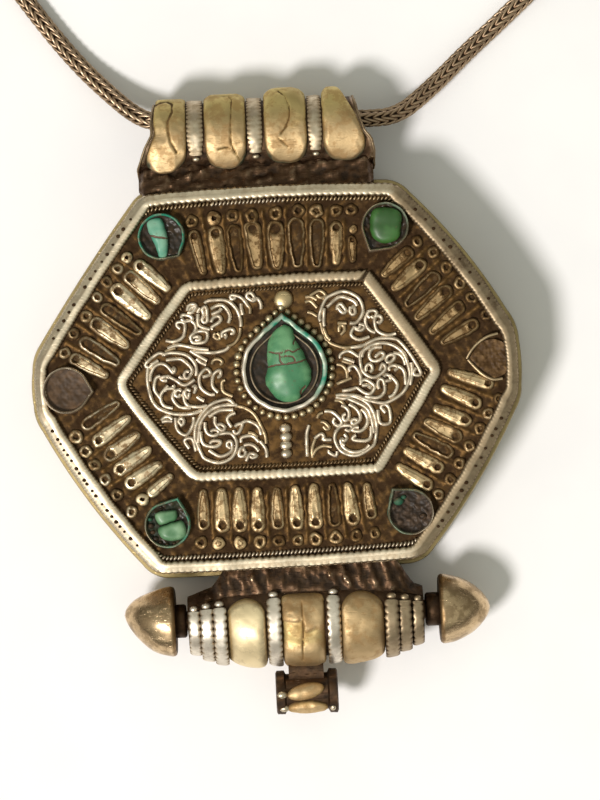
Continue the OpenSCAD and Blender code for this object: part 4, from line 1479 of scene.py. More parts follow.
# Courses of the filigree's wires as x, y, x, y, in tenths of a millimetre.
BRIGHT_WIRES = (
    (-104, 118, -97, 122, -71, 121, -56, 108, -50, 90, -50, 80),
    (-95, 109, -83, 114, -74, 112, -66, 98, -69, 86), (-94, 101, -82, 105, -78, 109),
    (-95, 89, -92, 95, -84, 98, -80, 93, -83, 88, -95, 81, -93, 78),
    (-103, 113, -108, 110, -106, 101, -109, 93, -106, 89, -101, 91, -101, 109, -103, 113),
    (-115, 102, -114, 85, -98, 78), (-111, 111, -114, 108, -115, 104),
    (-131, 108, -129, 115, -123, 118, -117, 115, -124, 105, -130, 106), (-118, 115, -125, 112, -128, 108),
    (-140, 97, -139, 102, -127, 100, -124, 94, -136, 92, -140, 96), (-125, 92, -120, 87, -119, 80, -122, 75),
    (-143, 81, -148, 86, -147, 91, -136, 89, -139, 69, -153, 62, -166, 64),
    (-127, 63, -128, 68, -121, 74, -111, 76, -102, 73, -105, 60, -122, 58, -127, 62),
    (-124, 66, -119, 68, -113, 66, -115, 62, -120, 63),
    (-79, 65, -79, 72, -66, 77, -61, 74, -62, 70, -66, 70), (-75, 70, -73, 66, -76, 63),
    (-56, 125, -61, 122, -64, 126, -61, 129, -47, 124, -37, 110), (-48, 115, -48, 108, -46, 98),
    (-31, 122, -26, 121, -31, 130, -37, 130, -39, 125, -29, 118, -23, 122, -18, 114, -18, 105),
    (-164, 52, -146, 56, -121, 50, -101, 47), (-128, 45, -117, 44, -94, 42, -76, 45, -70, 50),
    (-129, 47, -121, 41, -104, 30), (-120, 34, -114, 28, -106, 24),
    (-168, 42, -178, 45, -197, 32, -198, 26, -193, 24, -188, 29, -179, 34),
    (-195, 26, -197, 3, -193, -21, -188, -32, -179, -41, -158, -49, -133, -50, -115, -45),
    (-173, 42, -158, 45, -135, 40, -122, 24, -122, 8),
    (-167, 34, -148, 35, -140, 32, -128, 18, -134, 5, -139, 6, -140, 12, -136, 16, -133, 14),
    (-156, 16, -158, 20, -156, 22, -154, 18, -157, 14, -166, 25, -175, 29, -185, 25, -191, 15, -193, 3),
    (-167, 3, -173, 3, -177, 7, -166, 9, -164, 5), (-177, 10, -184, 7, -187, -10, -178, -24),
    (-158, -5, -157, -9, -169, -10, -171, -14), (-166, -5, -178, -20, -174, -35, -160, -40),
    (-148, -19, -150, -23, -155, -21, -155, -15, -150, -12, -146, -14),
    (-155, -12, -160, -24, -150, -38, -133, -41), (-134, -18, -136, -26, -141, -18, -137, -12, -132, -15),
    (-141, -14, -143, -20, -138, -36, -118, -40, -108, -38),
    (-167, 10, -154, 3, -145, -4, -137, -5, -125, 2), (-148, 8, -144, 5, -138, 5),
    (-122, -24, -119, -27, -112, -31), (-128, -10, -125, -7, -124, -13, -127, -19),
    (-112, 5, -100, 10, -106, 18, -117, 7, -116, -10, -104, -21, -95, -22),
    (-90, 4, -85, 6, -85, 15, -95, 9, -98, -8, -90, -19),
    (-128, -105, -129, -92, -125, -66, -106, -40, -83, -31, -72, -32, -66, -39),
    (-124, -95, -120, -68, -110, -52, -95, -42, -77, -39, -62, -40),
    (-128, -90, -120, -111, -114, -120, -93, -127, -73, -119, -65, -99, -73, -83, -91, -83),
    (-120, -78, -116, -97, -100, -102, -91, -99, -90, -94, -102, -93, -106, -97),
    (-112, -64, -112, -74, -108, -82, -100, -85, -93, -83, -92, -78, -100, -76, -104, -79),
    (-108, -107, -91, -117, -74, -110, -73, -96, -79, -96, -80, -102, -75, -105),
    (-96, -56, -97, -65, -92, -74, -85, -78, -82, -73, -88, -68, -93, -69), (-106, -56, -89, -47, -68, -47),
    (-65, -52, -72, -54, -78, -61, -72, -73), (-69, -78, -67, -83, -61, -82, -55, -70, -61, -69, -67, -73),
    (-56, -68, -48, -65, -37, -69, -30, -76, -27, -87), (-58, -97, -57, -90, -41, -88, -31, -98),
    (-54, -111, -56, -105, -61, -109, -62, -118, -54, -118, -52, -111),
    (-54, -102, -45, -101, -37, -105, -32, -112), (-52, -126, -45, -115, -35, -119, -42, -122, -45, -119),
    (-29, -97, -21, -109, -20, -122), (-148, -66, -152, -61, -150, -56, -145, -58, -145, -64, -150, -68),
    (-157, -55, -155, -73, -142, -82, -131, -68, -129, -55), (-138, -103, -145, -90, -133, -88, -128, -107),
    (-179, -58, -173, -53, -166, -53, -162, -57), (-178, -60, -170, -59, -162, -60),
    (72, 82, 71, 91, 80, 113, 90, 121, 111, 126, 132, 115, 138, 95, 128, 78, 117, 77),
    (83, 103, 96, 114, 107, 118, 125, 110, 129, 103),
    (98, 98, 100, 105, 105, 107, 112, 96, 107, 93, 100, 101),
    (119, 102, 118, 95, 121, 90, 126, 92, 124, 103, 121, 99), (79, 101, 77, 82, 78, 74),
    (117, 40, 125, 40, 134, 42), (133, 72, 129, 68, 123, 70, 118, 59, 130, 51, 146, 55),
    (125, 68, 133, 65, 139, 69, 138, 73, 131, 75),
    (148, 84, 144, 88, 146, 93, 153, 95, 159, 92, 155, 83, 150, 86),
    (145, 91, 141, 82, 142, 72, 148, 64, 155, 61),
    (159, 78, 162, 75, 166, 79, 165, 85, 159, 86, 155, 81, 158, 64, 173, 56, 187, 58),
    (117, 40, 133, 41, 158, 51, 183, 50, 194, 43, 209, 22, 222, -5, 212, -7, 211, -1, 215, 3),
    (133, 24, 135, 32, 144, 40, 158, 44, 173, 43, 185, 38, 196, 28, 201, 16, 205, -8, 194, -32, 171, -46,
     156, -47, 133, -40, 123, -35, 100, -32, 90, -33),
    (146, 39, 135, 34, 130, 26, 133, 3, 149, -8, 166, 1, 168, 8, 164, 12, 159, 2),
    (144, 1, 148, 4, 147, 11, 142, 13, 138, 8, 139, 2),
    (164, 38, 154, 38, 147, 34, 144, 26, 147, 19, 155, 17, 164, 21, 167, 27, 162, 30, 153, 23),
    (170, 15, 171, 22, 177, 26, 183, 24, 181, 18, 175, 14, 170, 15), (181, 28, 190, 26, 196, 20, 199, 9),
    (175, 2, 173, 4, 175, 8, 183, 9, 187, 5, 181, 1), (183, 9, 192, 5, 197, -3, 198, -21),
    (167, -14, 175, -13, 174, -7, 169, -4, 165, -8), (174, -5, 185, -20, 179, -35, 171, -39),
    (157, -26, 155, -18, 158, -11, 164, -13, 165, -30, 154, -39, 135, -36),
    (129, -18, 130, -13, 138, -11, 150, -21, 144, -32, 135, -31, 123, -22), (131, -19, 143, -20, 142, -25),
    (208, 12, 209, -1, 205, -22), (100, -26, 112, -25, 123, -22),
    (114, 3, 112, 8, 116, 11, 122, 10, 129, -3, 129, -14), (100, 24, 99, 28, 105, 33, 115, 34, 128, 25),
    (104, 24, 112, 21, 121, 17),
    (90, -35, 104, -38, 117, -35, 140, -49, 150, -76, 147, -105, 140, -115, 117, -126, 94, -118, 85, -97, 94,
     -81, 111, -80, 112, -85, 107, -88, 102, -85), (108, -38, 134, -52, 142, -66, 146, -93),
    (128, -55, 134, -62, 137, -72, 134, -82, 125, -89, 112, -87, 116, -83, 123, -83),
    (110, -47, 119, -53, 125, -62, 125, -72, 115, -78, 112, -73, 117, -70, 121, -72),
    (98, -48, 105, -52, 109, -59, 108, -68, 104, -72, 100, -70, 100, -63, 104, -62),
    (72, -56, 84, -58, 97, -72, 94, -79, 88, -78, 84, -72, 87, -67),
    (118, -95, 113, -98, 114, -102, 132, -104, 140, -99, 142, -82),
    (94, -101, 96, -110, 105, -118, 117, -121, 130, -118, 138, -111),
    (100, -92, 104, -98, 100, -103, 95, -99, 95, -105, 100, -110), (47, -76, 43, -88, 42, -105, 42, -124),
    (54, -97, 65, -90, 69, -95, 67, -99, 80, -100), (76, -116, 75, -119, 86, -125, 88, -118),
    (165, -63, 158, -53, 165, -50, 171, -57, 171, -78, 156, -78, 153, -58),
)
DIM_WIRES = (
    (-51, 78, -53, 66, -61, 55, -73, 50), (-90, 72, -92, 66, -84, 62, -83, 68, -87, 72),
    (-97, 24, -96, 29, -90, 32, -83, 30, -81, 26, -85, 23), (-78, -1, -83, -3, -82, -18, -68, -26),
    (-168, 47, -162, 50, -152, 52), (-65, -41, -50, -45, -35, -57, -22, -85, -20, -101),
    (-40, 115, -35, 108, -35, 99), (-47, -83, -39, -85, -33, -91), (72, 80, 80, 53, 102, 41, 117, 40),
    (76, 72, 81, 58, 86, 53), (102, 60, 108, 66, 108, 72, 104, 75, 100, 72, 100, 65), (98, 78, 112, 77),
    (58, 122, 73, 129, 82, 122, 78, 118, 72, 119, 69, 123), (51, 120, 60, 120, 68, 115),
    (50, 112, 58, 114, 68, 103), (53, 97, 60, 95, 67, 90), (102, 20, 110, 17, 117, 15),
    (94, 15, 102, 13, 108, 5, 109, -7), (92, -15, 104, -11, 115, -7), (60, -66, 63, -60, 69, -58),
    (65, -72, 71, -73, 78, -82, 73, -84, 69, -79), (50, -126, 50, -112, 55, -98),
    (51, -122, 56, -114, 67, -109, 80, -111), (104, -51, 98, -42, 88, -40),
)


@dataclass
class Filigree:
    """The scrolling wire, bead ring, grain and bead column of the middle field."""

    wire: float = 0.345
    height: float = 0.26
    # Beads of the column: x, y and the two half widths.
    beads: tuple[Point4, ...] = ((1.0, -7.9, 0.95, 0.8), (1.05, -9.2, 1.0, 0.82), (1.0, -10.5, 1.0, 0.82),
                                 (1.0, -11.8, 0.95, 0.8))
    bead_gap: float = 0.72
    # What is left of the right setting's wall, as x, y and height.
    broken: tuple[tuple[Point3, ...], ...] = (
        ((29.3, 1.4, 0.3), (29.9, 2.4, 0.5), (31.0, 3.6, 0.6), (32.6, 4.6, 0.7), (34.2, 5.0, 0.6)),
        ((29.5, 1.2, 0.35), (30.4, 0.1, 0.5), (31.7, -1.2, 0.6), (33.2, -2.0, 0.55), (34.6, -1.9, 0.45)))

    def routes(self, courses: Sequence[Sequence[int]], level: float) -> list[Array]:
        """Return smooth lines through charted courses, at a height above the plate."""
        lines = [smooth_line(np.reshape(course, (-1, 2)) / 10.0, 0.3) for course in courses]
        return [on_plate(line, level + 0.05 * ripple(line, 1.7, 91)) for line in lines]

    def build(self, beads: Grower, wires: Grower) -> None:
        """Make the wires, the bead ring, the grain and the bead column.

        Args:
            beads: Tree that sets beads along a route.
            wires: Tree that draws wire along a route.
        """
        for name, courses, finish, level in (
                ("filigree_scrolls", BRIGHT_WIRES, WIRE, self.height),
                ("filigree_dim_scrolls", DIM_WIRES, DIM_WIRE, self.height - 0.1)):
            wires.lay(name, self.routes(courses, level), finish, Radius=self.wire, Sides=7)
        beads.lay("bead_ring", [on_plate(CENTRE.drop(CENTRE.wall + self.bead_gap), 0.42)], GRAIN, closed=True,
                  Pitch=1.28, Radius=0.58, Stretch=1.0, Squash=0.9, Slant=0.0, Jitter=0.2, Seed=4)
        shape = Shape()
        for x, y, wide, tall in self.beads:
            shape.ball((x, y, PLATE_Z + 0.35), (wide, tall, 0.6), sides=20, relief=0.9)
        shape.ball((1.7, 11.8, PLATE_Z + 0.25), (1.55, 1.55, 0.75), sides=24, relief=0.85, gilt=0.7)
        place("grain_and_column", shape, SILVER)
        rims = [smooth_line(np.array(arm) + (0, 0, PLATE_Z + 0.3), 0.3) for arm in self.broken]
        wires.lay("broken_bezel_wire", rims, DIM_WIRE, Radius=0.26, Sides=8)


@dataclass
class Ropes:
    """Twisted wires beside the milled bands: bright or worn on the level sides, dark round the field."""

    side_gap: float = 0.45
    field_gap: float = 0.5
    top_y: float = 25.9
    bottom_y: float = -26.0
    bright_middle: float = -3.0
    bright_half: float = 5.5

    def build(self, beads: Grower) -> None:
        """Make the twisted wires.

        Args:
            beads: Tree that sets beads along a route.
        """
        outer = on_plate(CASE.curve(OUTER_BAND_W + self.side_gap), 0.36)
        x, y = outer[:, 0], outer[:, 1]
        top, clean = y > self.top_y, np.abs(x - self.bright_middle) < self.bright_half
        for name, finish, shown in (("rope_low", WIRE, y < self.bottom_y), ("rope_top", WIRE, top & clean),
                                    ("rope_top_worn", DIM_WIRE, top & ~clean)):
            cuts = np.flatnonzero(np.diff(shown.astype(int))) + 1
            runs = [run for run in np.split(np.arange(len(outer)), cuts) if shown[run[0]] and len(run) > 9]
            beads.lay(name, [outer[run] for run in runs], finish, Pitch=0.59, Radius=0.21, Stretch=2.2,
                      Squash=1.8, Slant=1.05, Jitter=0.08, Seed=2)
        inner = on_plate(FIELD.curve(INNER_BAND_W + self.field_gap), 0.3)
        beads.lay("field_rope", [inner], ROPE, closed=True, Pitch=0.56, Radius=0.2, Stretch=2.0, Squash=1.2,
                  Slant=0.9, Jitter=0.1, Seed=3)


@dataclass
class BackCover:
    """The push-on back: a shallow tray with a rim and an inner wall."""

    rim_out: float = 1.2
    gap: float = 0.15
    spigot_h: float = 5.0

    def build(self) -> None:
        """Make the cover from rows of inset, height and relief."""
        rim, wall, top = -self.rim_out, SHEET + self.gap, SEAM_Z + self.spigot_h
        inner = wall + SHEET
        section = ((0.6, 0.0, 0.7), (0.1, 0.0, 0.9), (rim + 0.2, 0.14, 1.0), (rim, 0.45, 0.8),
                   (rim, 1.5, 0.55), (rim, SEAM_Z - 0.35, 0.9), (rim + 0.15, SEAM_Z - 0.05, 1.0),
                   (0.0, SEAM_Z, 0.4), (wall, SEAM_Z, 0.2), (wall, top - 0.15, 0.6), (wall + 0.15, top, 0.9),
                   (inner - 0.1, top, 0.8), (inner, top - 0.15, 0.5), (inner, SHEET, 0.3))
        rows = np.array([with_height(CASE.curve(inset), z) for inset, z, _ in section])
        tray = Shape(40.0).grid(rows, caps=True, relief=np.array(section)[:, 2:])
        place("back_cover_tray", tray, BRASS, "back_cover", Body.COVER)


@dataclass(frozen=True)
class LobeNet:
    """Net of a gilt sheet lobe bent round an axis, close together on its front.

    The spans say how far it reaches past a half turn, in degrees, at its edges and at its middle.
    """

    columns: int
    front_rows: int
    front_share: float
    spans_deg: Point2
    bow: float

    def turns(self) -> tuple[Array, Array, Array]:
        """Return the share across, the reach past a half turn and the turn from the lobe's start."""
        t = np.linspace(0, 1, self.columns)[None, :]
        front = np.linspace(0, self.front_share, self.front_rows)
        back = np.linspace(self.front_share, 1, 26)[1:]
        bow = np.sqrt(np.clip(1 - np.abs(2 * t - 1) ** self.bow, 0, 1))
        edge, middle = self.spans_deg
        reach = np.radians(edge + (middle - edge) * bow)
        return t, reach, np.concatenate([front, back])[:, None] * (math.pi + 2 * reach)

    @staticmethod
    def rounded(t: Array, power: float, from_end: Array) -> tuple[Array, Array]:
        """Return how full the lobe is, by the share across it and by the distance from its end."""
        return (1 - np.abs(2 * t - 1) ** power) ** 0.6, smoothstep(from_end, 0.0, 1.3) ** 0.6

    @staticmethod
    def relief(across: Array, ends: Array, dent: Array, crack: Array) -> Array:
        """Return the relief mask: low at the edges, in the dents and in the cracks."""
        full = smoothstep(np.minimum(across, ends), 0.1, 0.6)
        return np.clip(0.25 + 0.75 * full + 0.4 * dent - 0.9 * crack, 0.0, 1.0)


@dataclass
class Bail:
    """The tube bail: dark tube, lumpy saddle, silver strips and cracked gilt lobes."""

    axis: Axis = Axis(37.3, 7.5)
    bore: float = 5.3
    radius: float = 5.75
    crown: float = 0.62
    # Rise of each lobe's top, and the angle below the front where it ends.
    rises: tuple[float, ...] = (0.0, 0.4, 1.0, 0.8)
    ends_deg: tuple[float, ...] = (54.0, 56.0, 49.0, 49.0)
    # The tube's ends as height on the front and place along it, and the outer lobes' edges.
    left_end: tuple[Point2, ...] = ((30, -19.5), (32.8, -19.7), (36.1, -18.4), (38, -17.3), (40, -17.3),
                                    (44, -16.7))
    right_end: tuple[Point2, ...] = ((31, 16.6), (34, 16.8), (36, 16.4), (37.2, 15.4), (40, 14.5), (44, 13.6))
    left: tuple[Point2, ...] = ((30.4, -19.2), (32.8, -19.1), (36.1, -17.8), (38, -16.8), (40, -17.0),
                                (43.7, -16.5))
    right: tuple[Point2, ...] = ((28, 14.8), (33, 15.5), (36, 15.5), (40, 14.0), (42, 13.0), (43.7, 12.2))
    lobes: tuple[Point2, ...] = ((-18.3, -12.0), (-9.15, -2.8), (0.05, 6.55), (9.0, 15.3))
    strips: tuple[Point2, ...] = ((-11.9, -9.4), (-2.6, -0.3), (6.75, 8.85))
    # Courses of the cracks on the front, and their half widths.
    cracks: tuple[tuple[tuple[Point2, ...], float], ...] = (
        (((-16.4, 42.4), (-14.9, 42.7), (-14.0, 42.2), (-14.0, 41.0), (-14.7, 39.8), (-14.7, 38.2),
          (-14.4, 36.8), (-13.6, 35.4)), 0.2),
        (((-7.8, 43.6), (-6.6, 43.1), (-5.4, 43.1), (-4.8, 42.4), (-5.0, 40.0), (-5.2, 36.5), (-4.8, 35.3),
          (-3.9, 33.9)), 0.1),
        (((-7.2, 35.5), (-6.2, 35.7), (-5.2, 35.6)), 0.08),
        (((2.0, 43.8), (3.4, 42.6), (4.0, 41.2), (4.0, 39.6), (3.4, 38.2), (2.5, 37.2)), 0.1),
        (((2.2, 36.6), (2.8, 36.1), (3.6, 35.4)), 0.08), (((2.1, 44.1), (4.2, 44.0), (6.2, 43.5)), 0.1))

    def lobe(self, index: int) -> Shape:
        """Return one gilt lobe, bulged, with rounded ends, dents and cracks.

        Args:
            index: Number of the lobe, from the left.
        """
        wrap = self.axis.wrap
        net = LobeNet(40, 104, 0.56, (14, self.ends_deg[index]), 2.4)
        t, reach, turn = net.turns()
        angle = turn - reach
        below = -np.degrees(angle)
        grown = self.rises[index] * smoothstep(np.sin(angle), 0.6, 1.0)
        if index == 0:
            grown = grown + np.interp(below, (20, 30, 40, 54), (0.0, 0.1, 0.5, 1.7))
        y = self.axis.y + (self.radius + grown) * np.sin(angle)
        start, end = (np.full_like(y, x) for x in self.lobes[index])
        if index == 0:
            start = np.interp(y, *zip(*self.left))
        if index == len(self.lobes) - 1:
            end = np.interp(y, *zip(*self.right))
        x = start + (end - start) * t
        from_end = np.minimum(turn, math.pi + 2 * reach - turn) * self.radius
        across, ends = net.rounded(t, 2.6, from_end)
        plan = np.stack([x, y], -1)
        front = smoothstep(np.cos(angle), 0.22, 0.4)
        crack = np.zeros_like(x)
        for line, half in self.cracks:
            near = line_distance(plan, line) + 0.05 * ripple(plan, 1.0, 103)
            crack = np.maximum(crack, (1 - smoothstep(near, half * 0.5, half + 0.1)) * front)
        solid = wrap(x, angle, self.radius)
        dent = 0.14 * ripple(solid, 3.6, 101 + index) + 0.05 * ripple(solid, 1.5, 111 + index)
        if index == 0:
            dent -= 0.5 * np.exp(-((x + 16.4) ** 2 + ((y - 38.0) / 1.8) ** 2) / 2.0) * front
            dent += 0.25 * np.exp(-((x + 15.2) ** 2 / 0.6 + ((y - 41.2) / 1.4) ** 2)) * front
        bulge = np.minimum(0.24 + (self.crown + grown) * across * ends + dent * ends, 0.75 + grown)
        sunk = np.where(below > 20, 0.6 * grown * across * ends, 0.0)
        green = (1 - smoothstep(from_end + 0.25 * ripple(solid, 1.2, 105), 0.3, 1.2)) * (below > 0)
        return Shape().sheet(wrap(x, angle, self.radius + bulge - 0.16 * crack),
                             wrap(x, angle, self.radius - 0.05 + sunk),
                             relief=net.relief(across, ends, dent, crack),
                             gilt=0.85 * smoothstep(np.sin(angle), 0.0, 0.8), stain=green)

    def tube(self) -> Shape:
        """Return the dark tube with its slanting ends and lumps of solder."""
        wrap = self.axis.wrap
        t = np.linspace(0, 1, 90)[None, :]
        angle = around(84)[:, None]
        y = self.axis.y + self.radius * np.sin(angle)
        start, end = (np.interp(y, *zip(*edge)) for edge in (self.left_end, self.right_end))
        x = start + (end - start) * t
        skin = wrap(x, angle, self.radius)
        lower = smoothstep(-np.sin(angle), 0.2, 0.8)
        lump = (0.22 * ripple(skin, 1.6, 121) + 0.12 * ripple(skin, 0.8, 122)) * lower
        outer, inner = wrap(x, angle, self.radius - 0.12 + np.maximum(lump, -0.15)), wrap(x, angle, self.bore)
        relief = np.clip(0.35 + 1.5 * lump + 0.5 * ((t < 0.02) | (t > 0.98)), 0, 1)
        high = np.concatenate([relief, np.full(relief.shape, 0.2)], axis=1)
        return Shape().grid(np.concatenate([outer, inner[:, ::-1]], axis=1), loop_rows=True, relief=high)

    def saddle(self) -> Shape:
        """Return the lumpy solder between the tube and the box."""
        section = ((28.75, 5.0), (28.75, 12.6), (29.6, 12.9), (31.2, 12.2), (32.4, 11.8), (33.4, 11.2),
                   (34.0, 9.0), (33.0, 7.5), (34.0, 6.0), (32.4, 4.2), (30.0, 4.0))
        middle = np.array([30.6, 8.2])
        x = np.linspace(-19.7, 16.5, 124)[:, None, None]
        shrink = 1 - 0.35 * smoothstep(np.abs(x + 1.6), 17.0, 18.1)
        plan = middle + (smooth_line(section, 0.35, closed=True) - middle) * shrink
        points = np.concatenate([np.broadcast_to(x, (*plan.shape[:2], 1)), plan], -1)
        lump = 0.3 * ripple(points, 2.0, 131) + 0.14 * ripple(points, 0.9, 132)
        points[..., 1:] += unit(plan - middle) * lump[..., None]
        points[..., 1] = np.maximum(points[..., 1], 28.7)
        return Shape().grid(points, caps=True, relief=np.clip(0.46 + 0.7 * lump, 0, 1))

    def strip_pieces(self) -> Shape:
        """Return the silver strips with toothed edges and a bead at each end."""
        wrap = self.axis.wrap
        shape = Shape()
        reach = math.radians(27)
        angle = np.linspace(-reach, math.pi + reach, 190)[:, None]
        gap = 1 - np.abs(np.sin(angle * self.radius * math.pi / 0.72)) ** 0.7
        t = np.linspace(-1, 1, 9)[None, :]
        edge = np.abs(t) ** 3
        taper = 1 - 0.22 * smoothstep(np.abs(angle - math.pi / 2), math.pi / 2, math.pi / 2 + reach)
        for x0, x1 in self.strips:
            middle = (x0 + x1) / 2
            x = middle + t * ((x1 - x0) / 2 * taper - 0.09 * gap)
            rough = 0.05 * ripple(wrap(x, angle, self.radius), 1.8, 141)
            shape.sheet(wrap(x, angle, self.radius + 0.36 - edge * (0.12 + 0.07 * gap) + rough),
                        wrap(x, angle, self.radius - 0.1),
                        relief=np.clip(0.74 - edge * (0.3 + 0.8 * gap), 0, 1))
            for way in (-reach - 0.12, math.pi + reach + 0.12):
                shape.ball(wrap(middle, way, self.radius + 0.1), (0.62, 0.45, 0.45), sides=12, relief=0.85)
        return shape

    def rims(self) -> Shape:
        """Return the bright rims of the tube's two ends."""
        shape = Shape()
        angle = np.linspace(0, TURN, 73)
        reach = self.radius - 0.1
        for edge in (self.left_end, self.right_end):
            x = np.interp(self.axis.y + reach * np.sin(angle), *zip(*edge))
            ring = self.axis.wrap(x, angle, reach)
            shape.tube(ring, 0.2 + 0.05 * ripple(ring, 2.0, 145), relief=0.7)
        return shape

    def build(self) -> None:
        """Make the bail's pieces."""
        place("bail_rims", self.rims(), DULL_AND_SHADED, "bail")
        place("bail_tube", self.tube(), SOLDER, "bail")
        place("bail_saddle", self.saddle(), SOLDER, "bail")
        place("bail_strips", self.strip_pieces(), BAND, "bail")
        for i in range(len(self.lobes)):
            place(f"bail_lobe_{i + 1}_gilt", self.lobe(i), GILT, f"bail_lobe_{i + 1}")


@dataclass(frozen=True)
class BarrelLobe:
    """One gilt lobe of the barrel: its ends, the angles where it starts, its form and its finish."""

    name: str
    ends: Point2
    spans_deg: Point2
    bow: float
    skew: float
    seed: int
    dents: float
    finish: Metal = GILT


@dataclass
class Barrel:
    """The barrel under the box: dark core and saddle, silver rings and gilt lobes."""

    axis: Axis = Axis(-37.0, 7.6)
    core: tuple[Point2, ...] = ((-15.4, 3.8), (-12, 5), (-9.4, 5.8), (-3.6, 6.5), (8.4, 6.5), (14.8, 5.7),
                                (18, 4.9), (21, 3.8))
    # Middle, outer radius and width of each ring.
    rings: tuple[Point3, ...] = (
        (-14.4, 5.1, 1.9), (-12.45, 6.1, 2.0), (-10.4, 6.8, 2.05), (-2.1, 7.3, 2.2), (7.1, 7.3, 2.1),
        (16.0, 6.8, 2.15), (18.05, 6.0, 2.0), (20.05, 5.1, 1.8))
    lobes: tuple[BarrelLobe, ...] = (
        # The left lobe's paler gilt is a painted highlight.
        BarrelLobe("left", (-9.4, -3.4), (4.5, 31.0), 1.8, 1.5, 171, 0.35, HIGHLIT_GILT),
        BarrelLobe("centre", (-0.95, 5.65), (24.0, 33.0), 5.0, 1.0, 174, 0.8),
        BarrelLobe("right", (8.2, 14.8), (5.0, 35.0), 1.8, 0.8, 177, 0.8))
    crown: float = 0.55
    swell: float = 0.7
    crack: tuple[Point2, ...] = ((2.2, -34.8), (2.3, -37.4), (2.2, -39.5), (2.0, -42.4))

    def facing_down(self, angle: Array) -> Array:
        """Return 1 on the front and the underside, and 0 behind and towards the box."""
        turned_down = -np.degrees(angle)
        return smoothstep(turned_down, -25.0, 25.0) * (1 - smoothstep(turned_down, 95.0, 135.0))

    def above_floor(self, radius: Array, angle: Array) -> Array:
        """Return the radius, held back where it would go below the surface it lies on."""
        return np.minimum(radius, (self.axis.z - 0.15) / np.maximum(-np.cos(angle), 0.2))

    def core_radius(self, x: Array | float) -> Array:
        """Return the core's radius at a place along it."""
        return np.interp(x, *zip(*self.core))

    def body(self) -> Shape:
        """Return the dark core."""

        def lumps(x: Array, angle: Array) -> Array:
            """Return lumps of solder, higher near the box."""
            spot = self.axis.wrap(x, angle, 6.0)
            near_box = smoothstep(np.sin(angle), 0.15, 0.7) * (1 - smoothstep(np.abs(x - 3.0), 11.0, 15.0))
            return -0.1 + 0.08 * ripple(spot, 1.2, 151) + near_box * (0.2 + 0.2 * ripple(spot, 2.3, 152))

        profile = [(x, self.core_radius(x)) for x in np.linspace(-15.4, 21.0, 74)]
        return self.axis.turned([(-15.4, 1.7), *profile, (21.0, 1.7)], 72, 0.35, lumps)

    def saddle(self) -> Shape:
        """Return the folded solder that fills in between the barrel and the box."""
        x = np.linspace(-13.6, 20.8, 132)
        radius = self.core_radius(x) + 0.1
        fade = smoothstep(np.abs(x - 4.0), 12.0, 16.2)
        top = -28.4 + fade * (0.92 * radius - 8.6)
        front = 4.7 + fade * (0.35 * radius - 4.7)
        foot, out = self.axis.y + 0.6 * radius, 0.8 * radius
        deep, core = self.axis.y + 0.3 * radius, 0.5 * radius
        fold = (front + out) / 2 + 0.3 * (1 - fade)
        knots = np.array([(top, -front), (top, front), ((top + foot) / 2, fold), (foot, out), (deep, core),
                          (deep, -core), (foot, -out)])
        share = np.linspace(0, 1, 7)[:-1].reshape(1, -1, 1, 1)
        loop = knots[:, None] + (np.roll(knots, -1, axis=0) - knots)[:, None] * share
        loop = loop.reshape(-1, 2, len(x)).transpose(2, 0, 1)
        points = np.concatenate([np.broadcast_to(x[:, None, None], (*loop.shape[:2], 1)), loop], -1)
        lump = 0.36 * ripple(points * (1.0, 0.6, 0.5), 1.7, 161) + 0.16 * ripple(points, 0.9, 162)
        shown = 0.1 + 0.9 * smoothstep(points[..., 1] - foot[:, None], -0.2, 1.4)
        points[..., 2] += self.axis.z + np.sign(loop[..., 1]) * lump * shown
        return Shape().grid(points, caps=True, relief=np.clip(0.36 + 0.9 * lump, 0, 1))

    def lobe(self, kind: BarrelLobe) -> Shape:
        """Return one gilt lobe of the barrel, arched towards the box.

        Args:
            kind: Form and finish of the lobe.
        """
        wrap = self.axis.wrap
        net = LobeNet(38, 96, 0.6, kind.spans_deg, kind.bow)
        t, reach, turn = net.turns()
        angle = reach - turn
        start, end = kind.ends
        x = start + (end - start) * t + 0 * angle
        base = self.core_radius(x)
        skin = wrap(x, angle, base)
        plan, y = skin[..., :2], skin[..., 1]
        from_end = np.minimum(turn, math.pi + 2 * reach - turn) * base
        across, ends = net.rounded(t**kind.skew, 3.2, from_end)
        dent = (0.12 * ripple(skin, 3.4, kind.seed) + 0.04 * ripple(skin, 1.4, kind.seed + 1)) * kind.dents
        crack = np.zeros_like(x)
        if kind.name == "centre":
            front = np.cos(angle) > 0
            near = line_distance(plan, self.crack) + 0.04 * ripple(plan, 0.9, 181)
            crack = (1 - smoothstep(near, 0.04, 0.18)) * front
            brow = -36.6 - 1.5 * smoothstep(x, 1.9, 2.8) + 0.45 * ripple(plan, 2.2, 183)
            dent -= 0.42 * smoothstep(brow - y, 0.0, 0.8) * (1 - smoothstep(-y, 39.9, 41.5)) * front
            dent += 0.25 * np.exp(-(((y + 42.5) / 1.2) ** 2)) * front
        crown = self.crown + self.swell * self.facing_down(angle)
        radius = base + 0.24 + np.minimum(crown * across + dent, crown + 0.1) * ends - 0.16 * crack
        return Shape().sheet(wrap(x, angle, self.above_floor(radius, angle)), wrap(x, angle, base - 0.12),
                             relief=net.relief(across, ends, dent, crack),
                             gilt=0.45 * smoothstep(-dent, 0.15, 0.4))

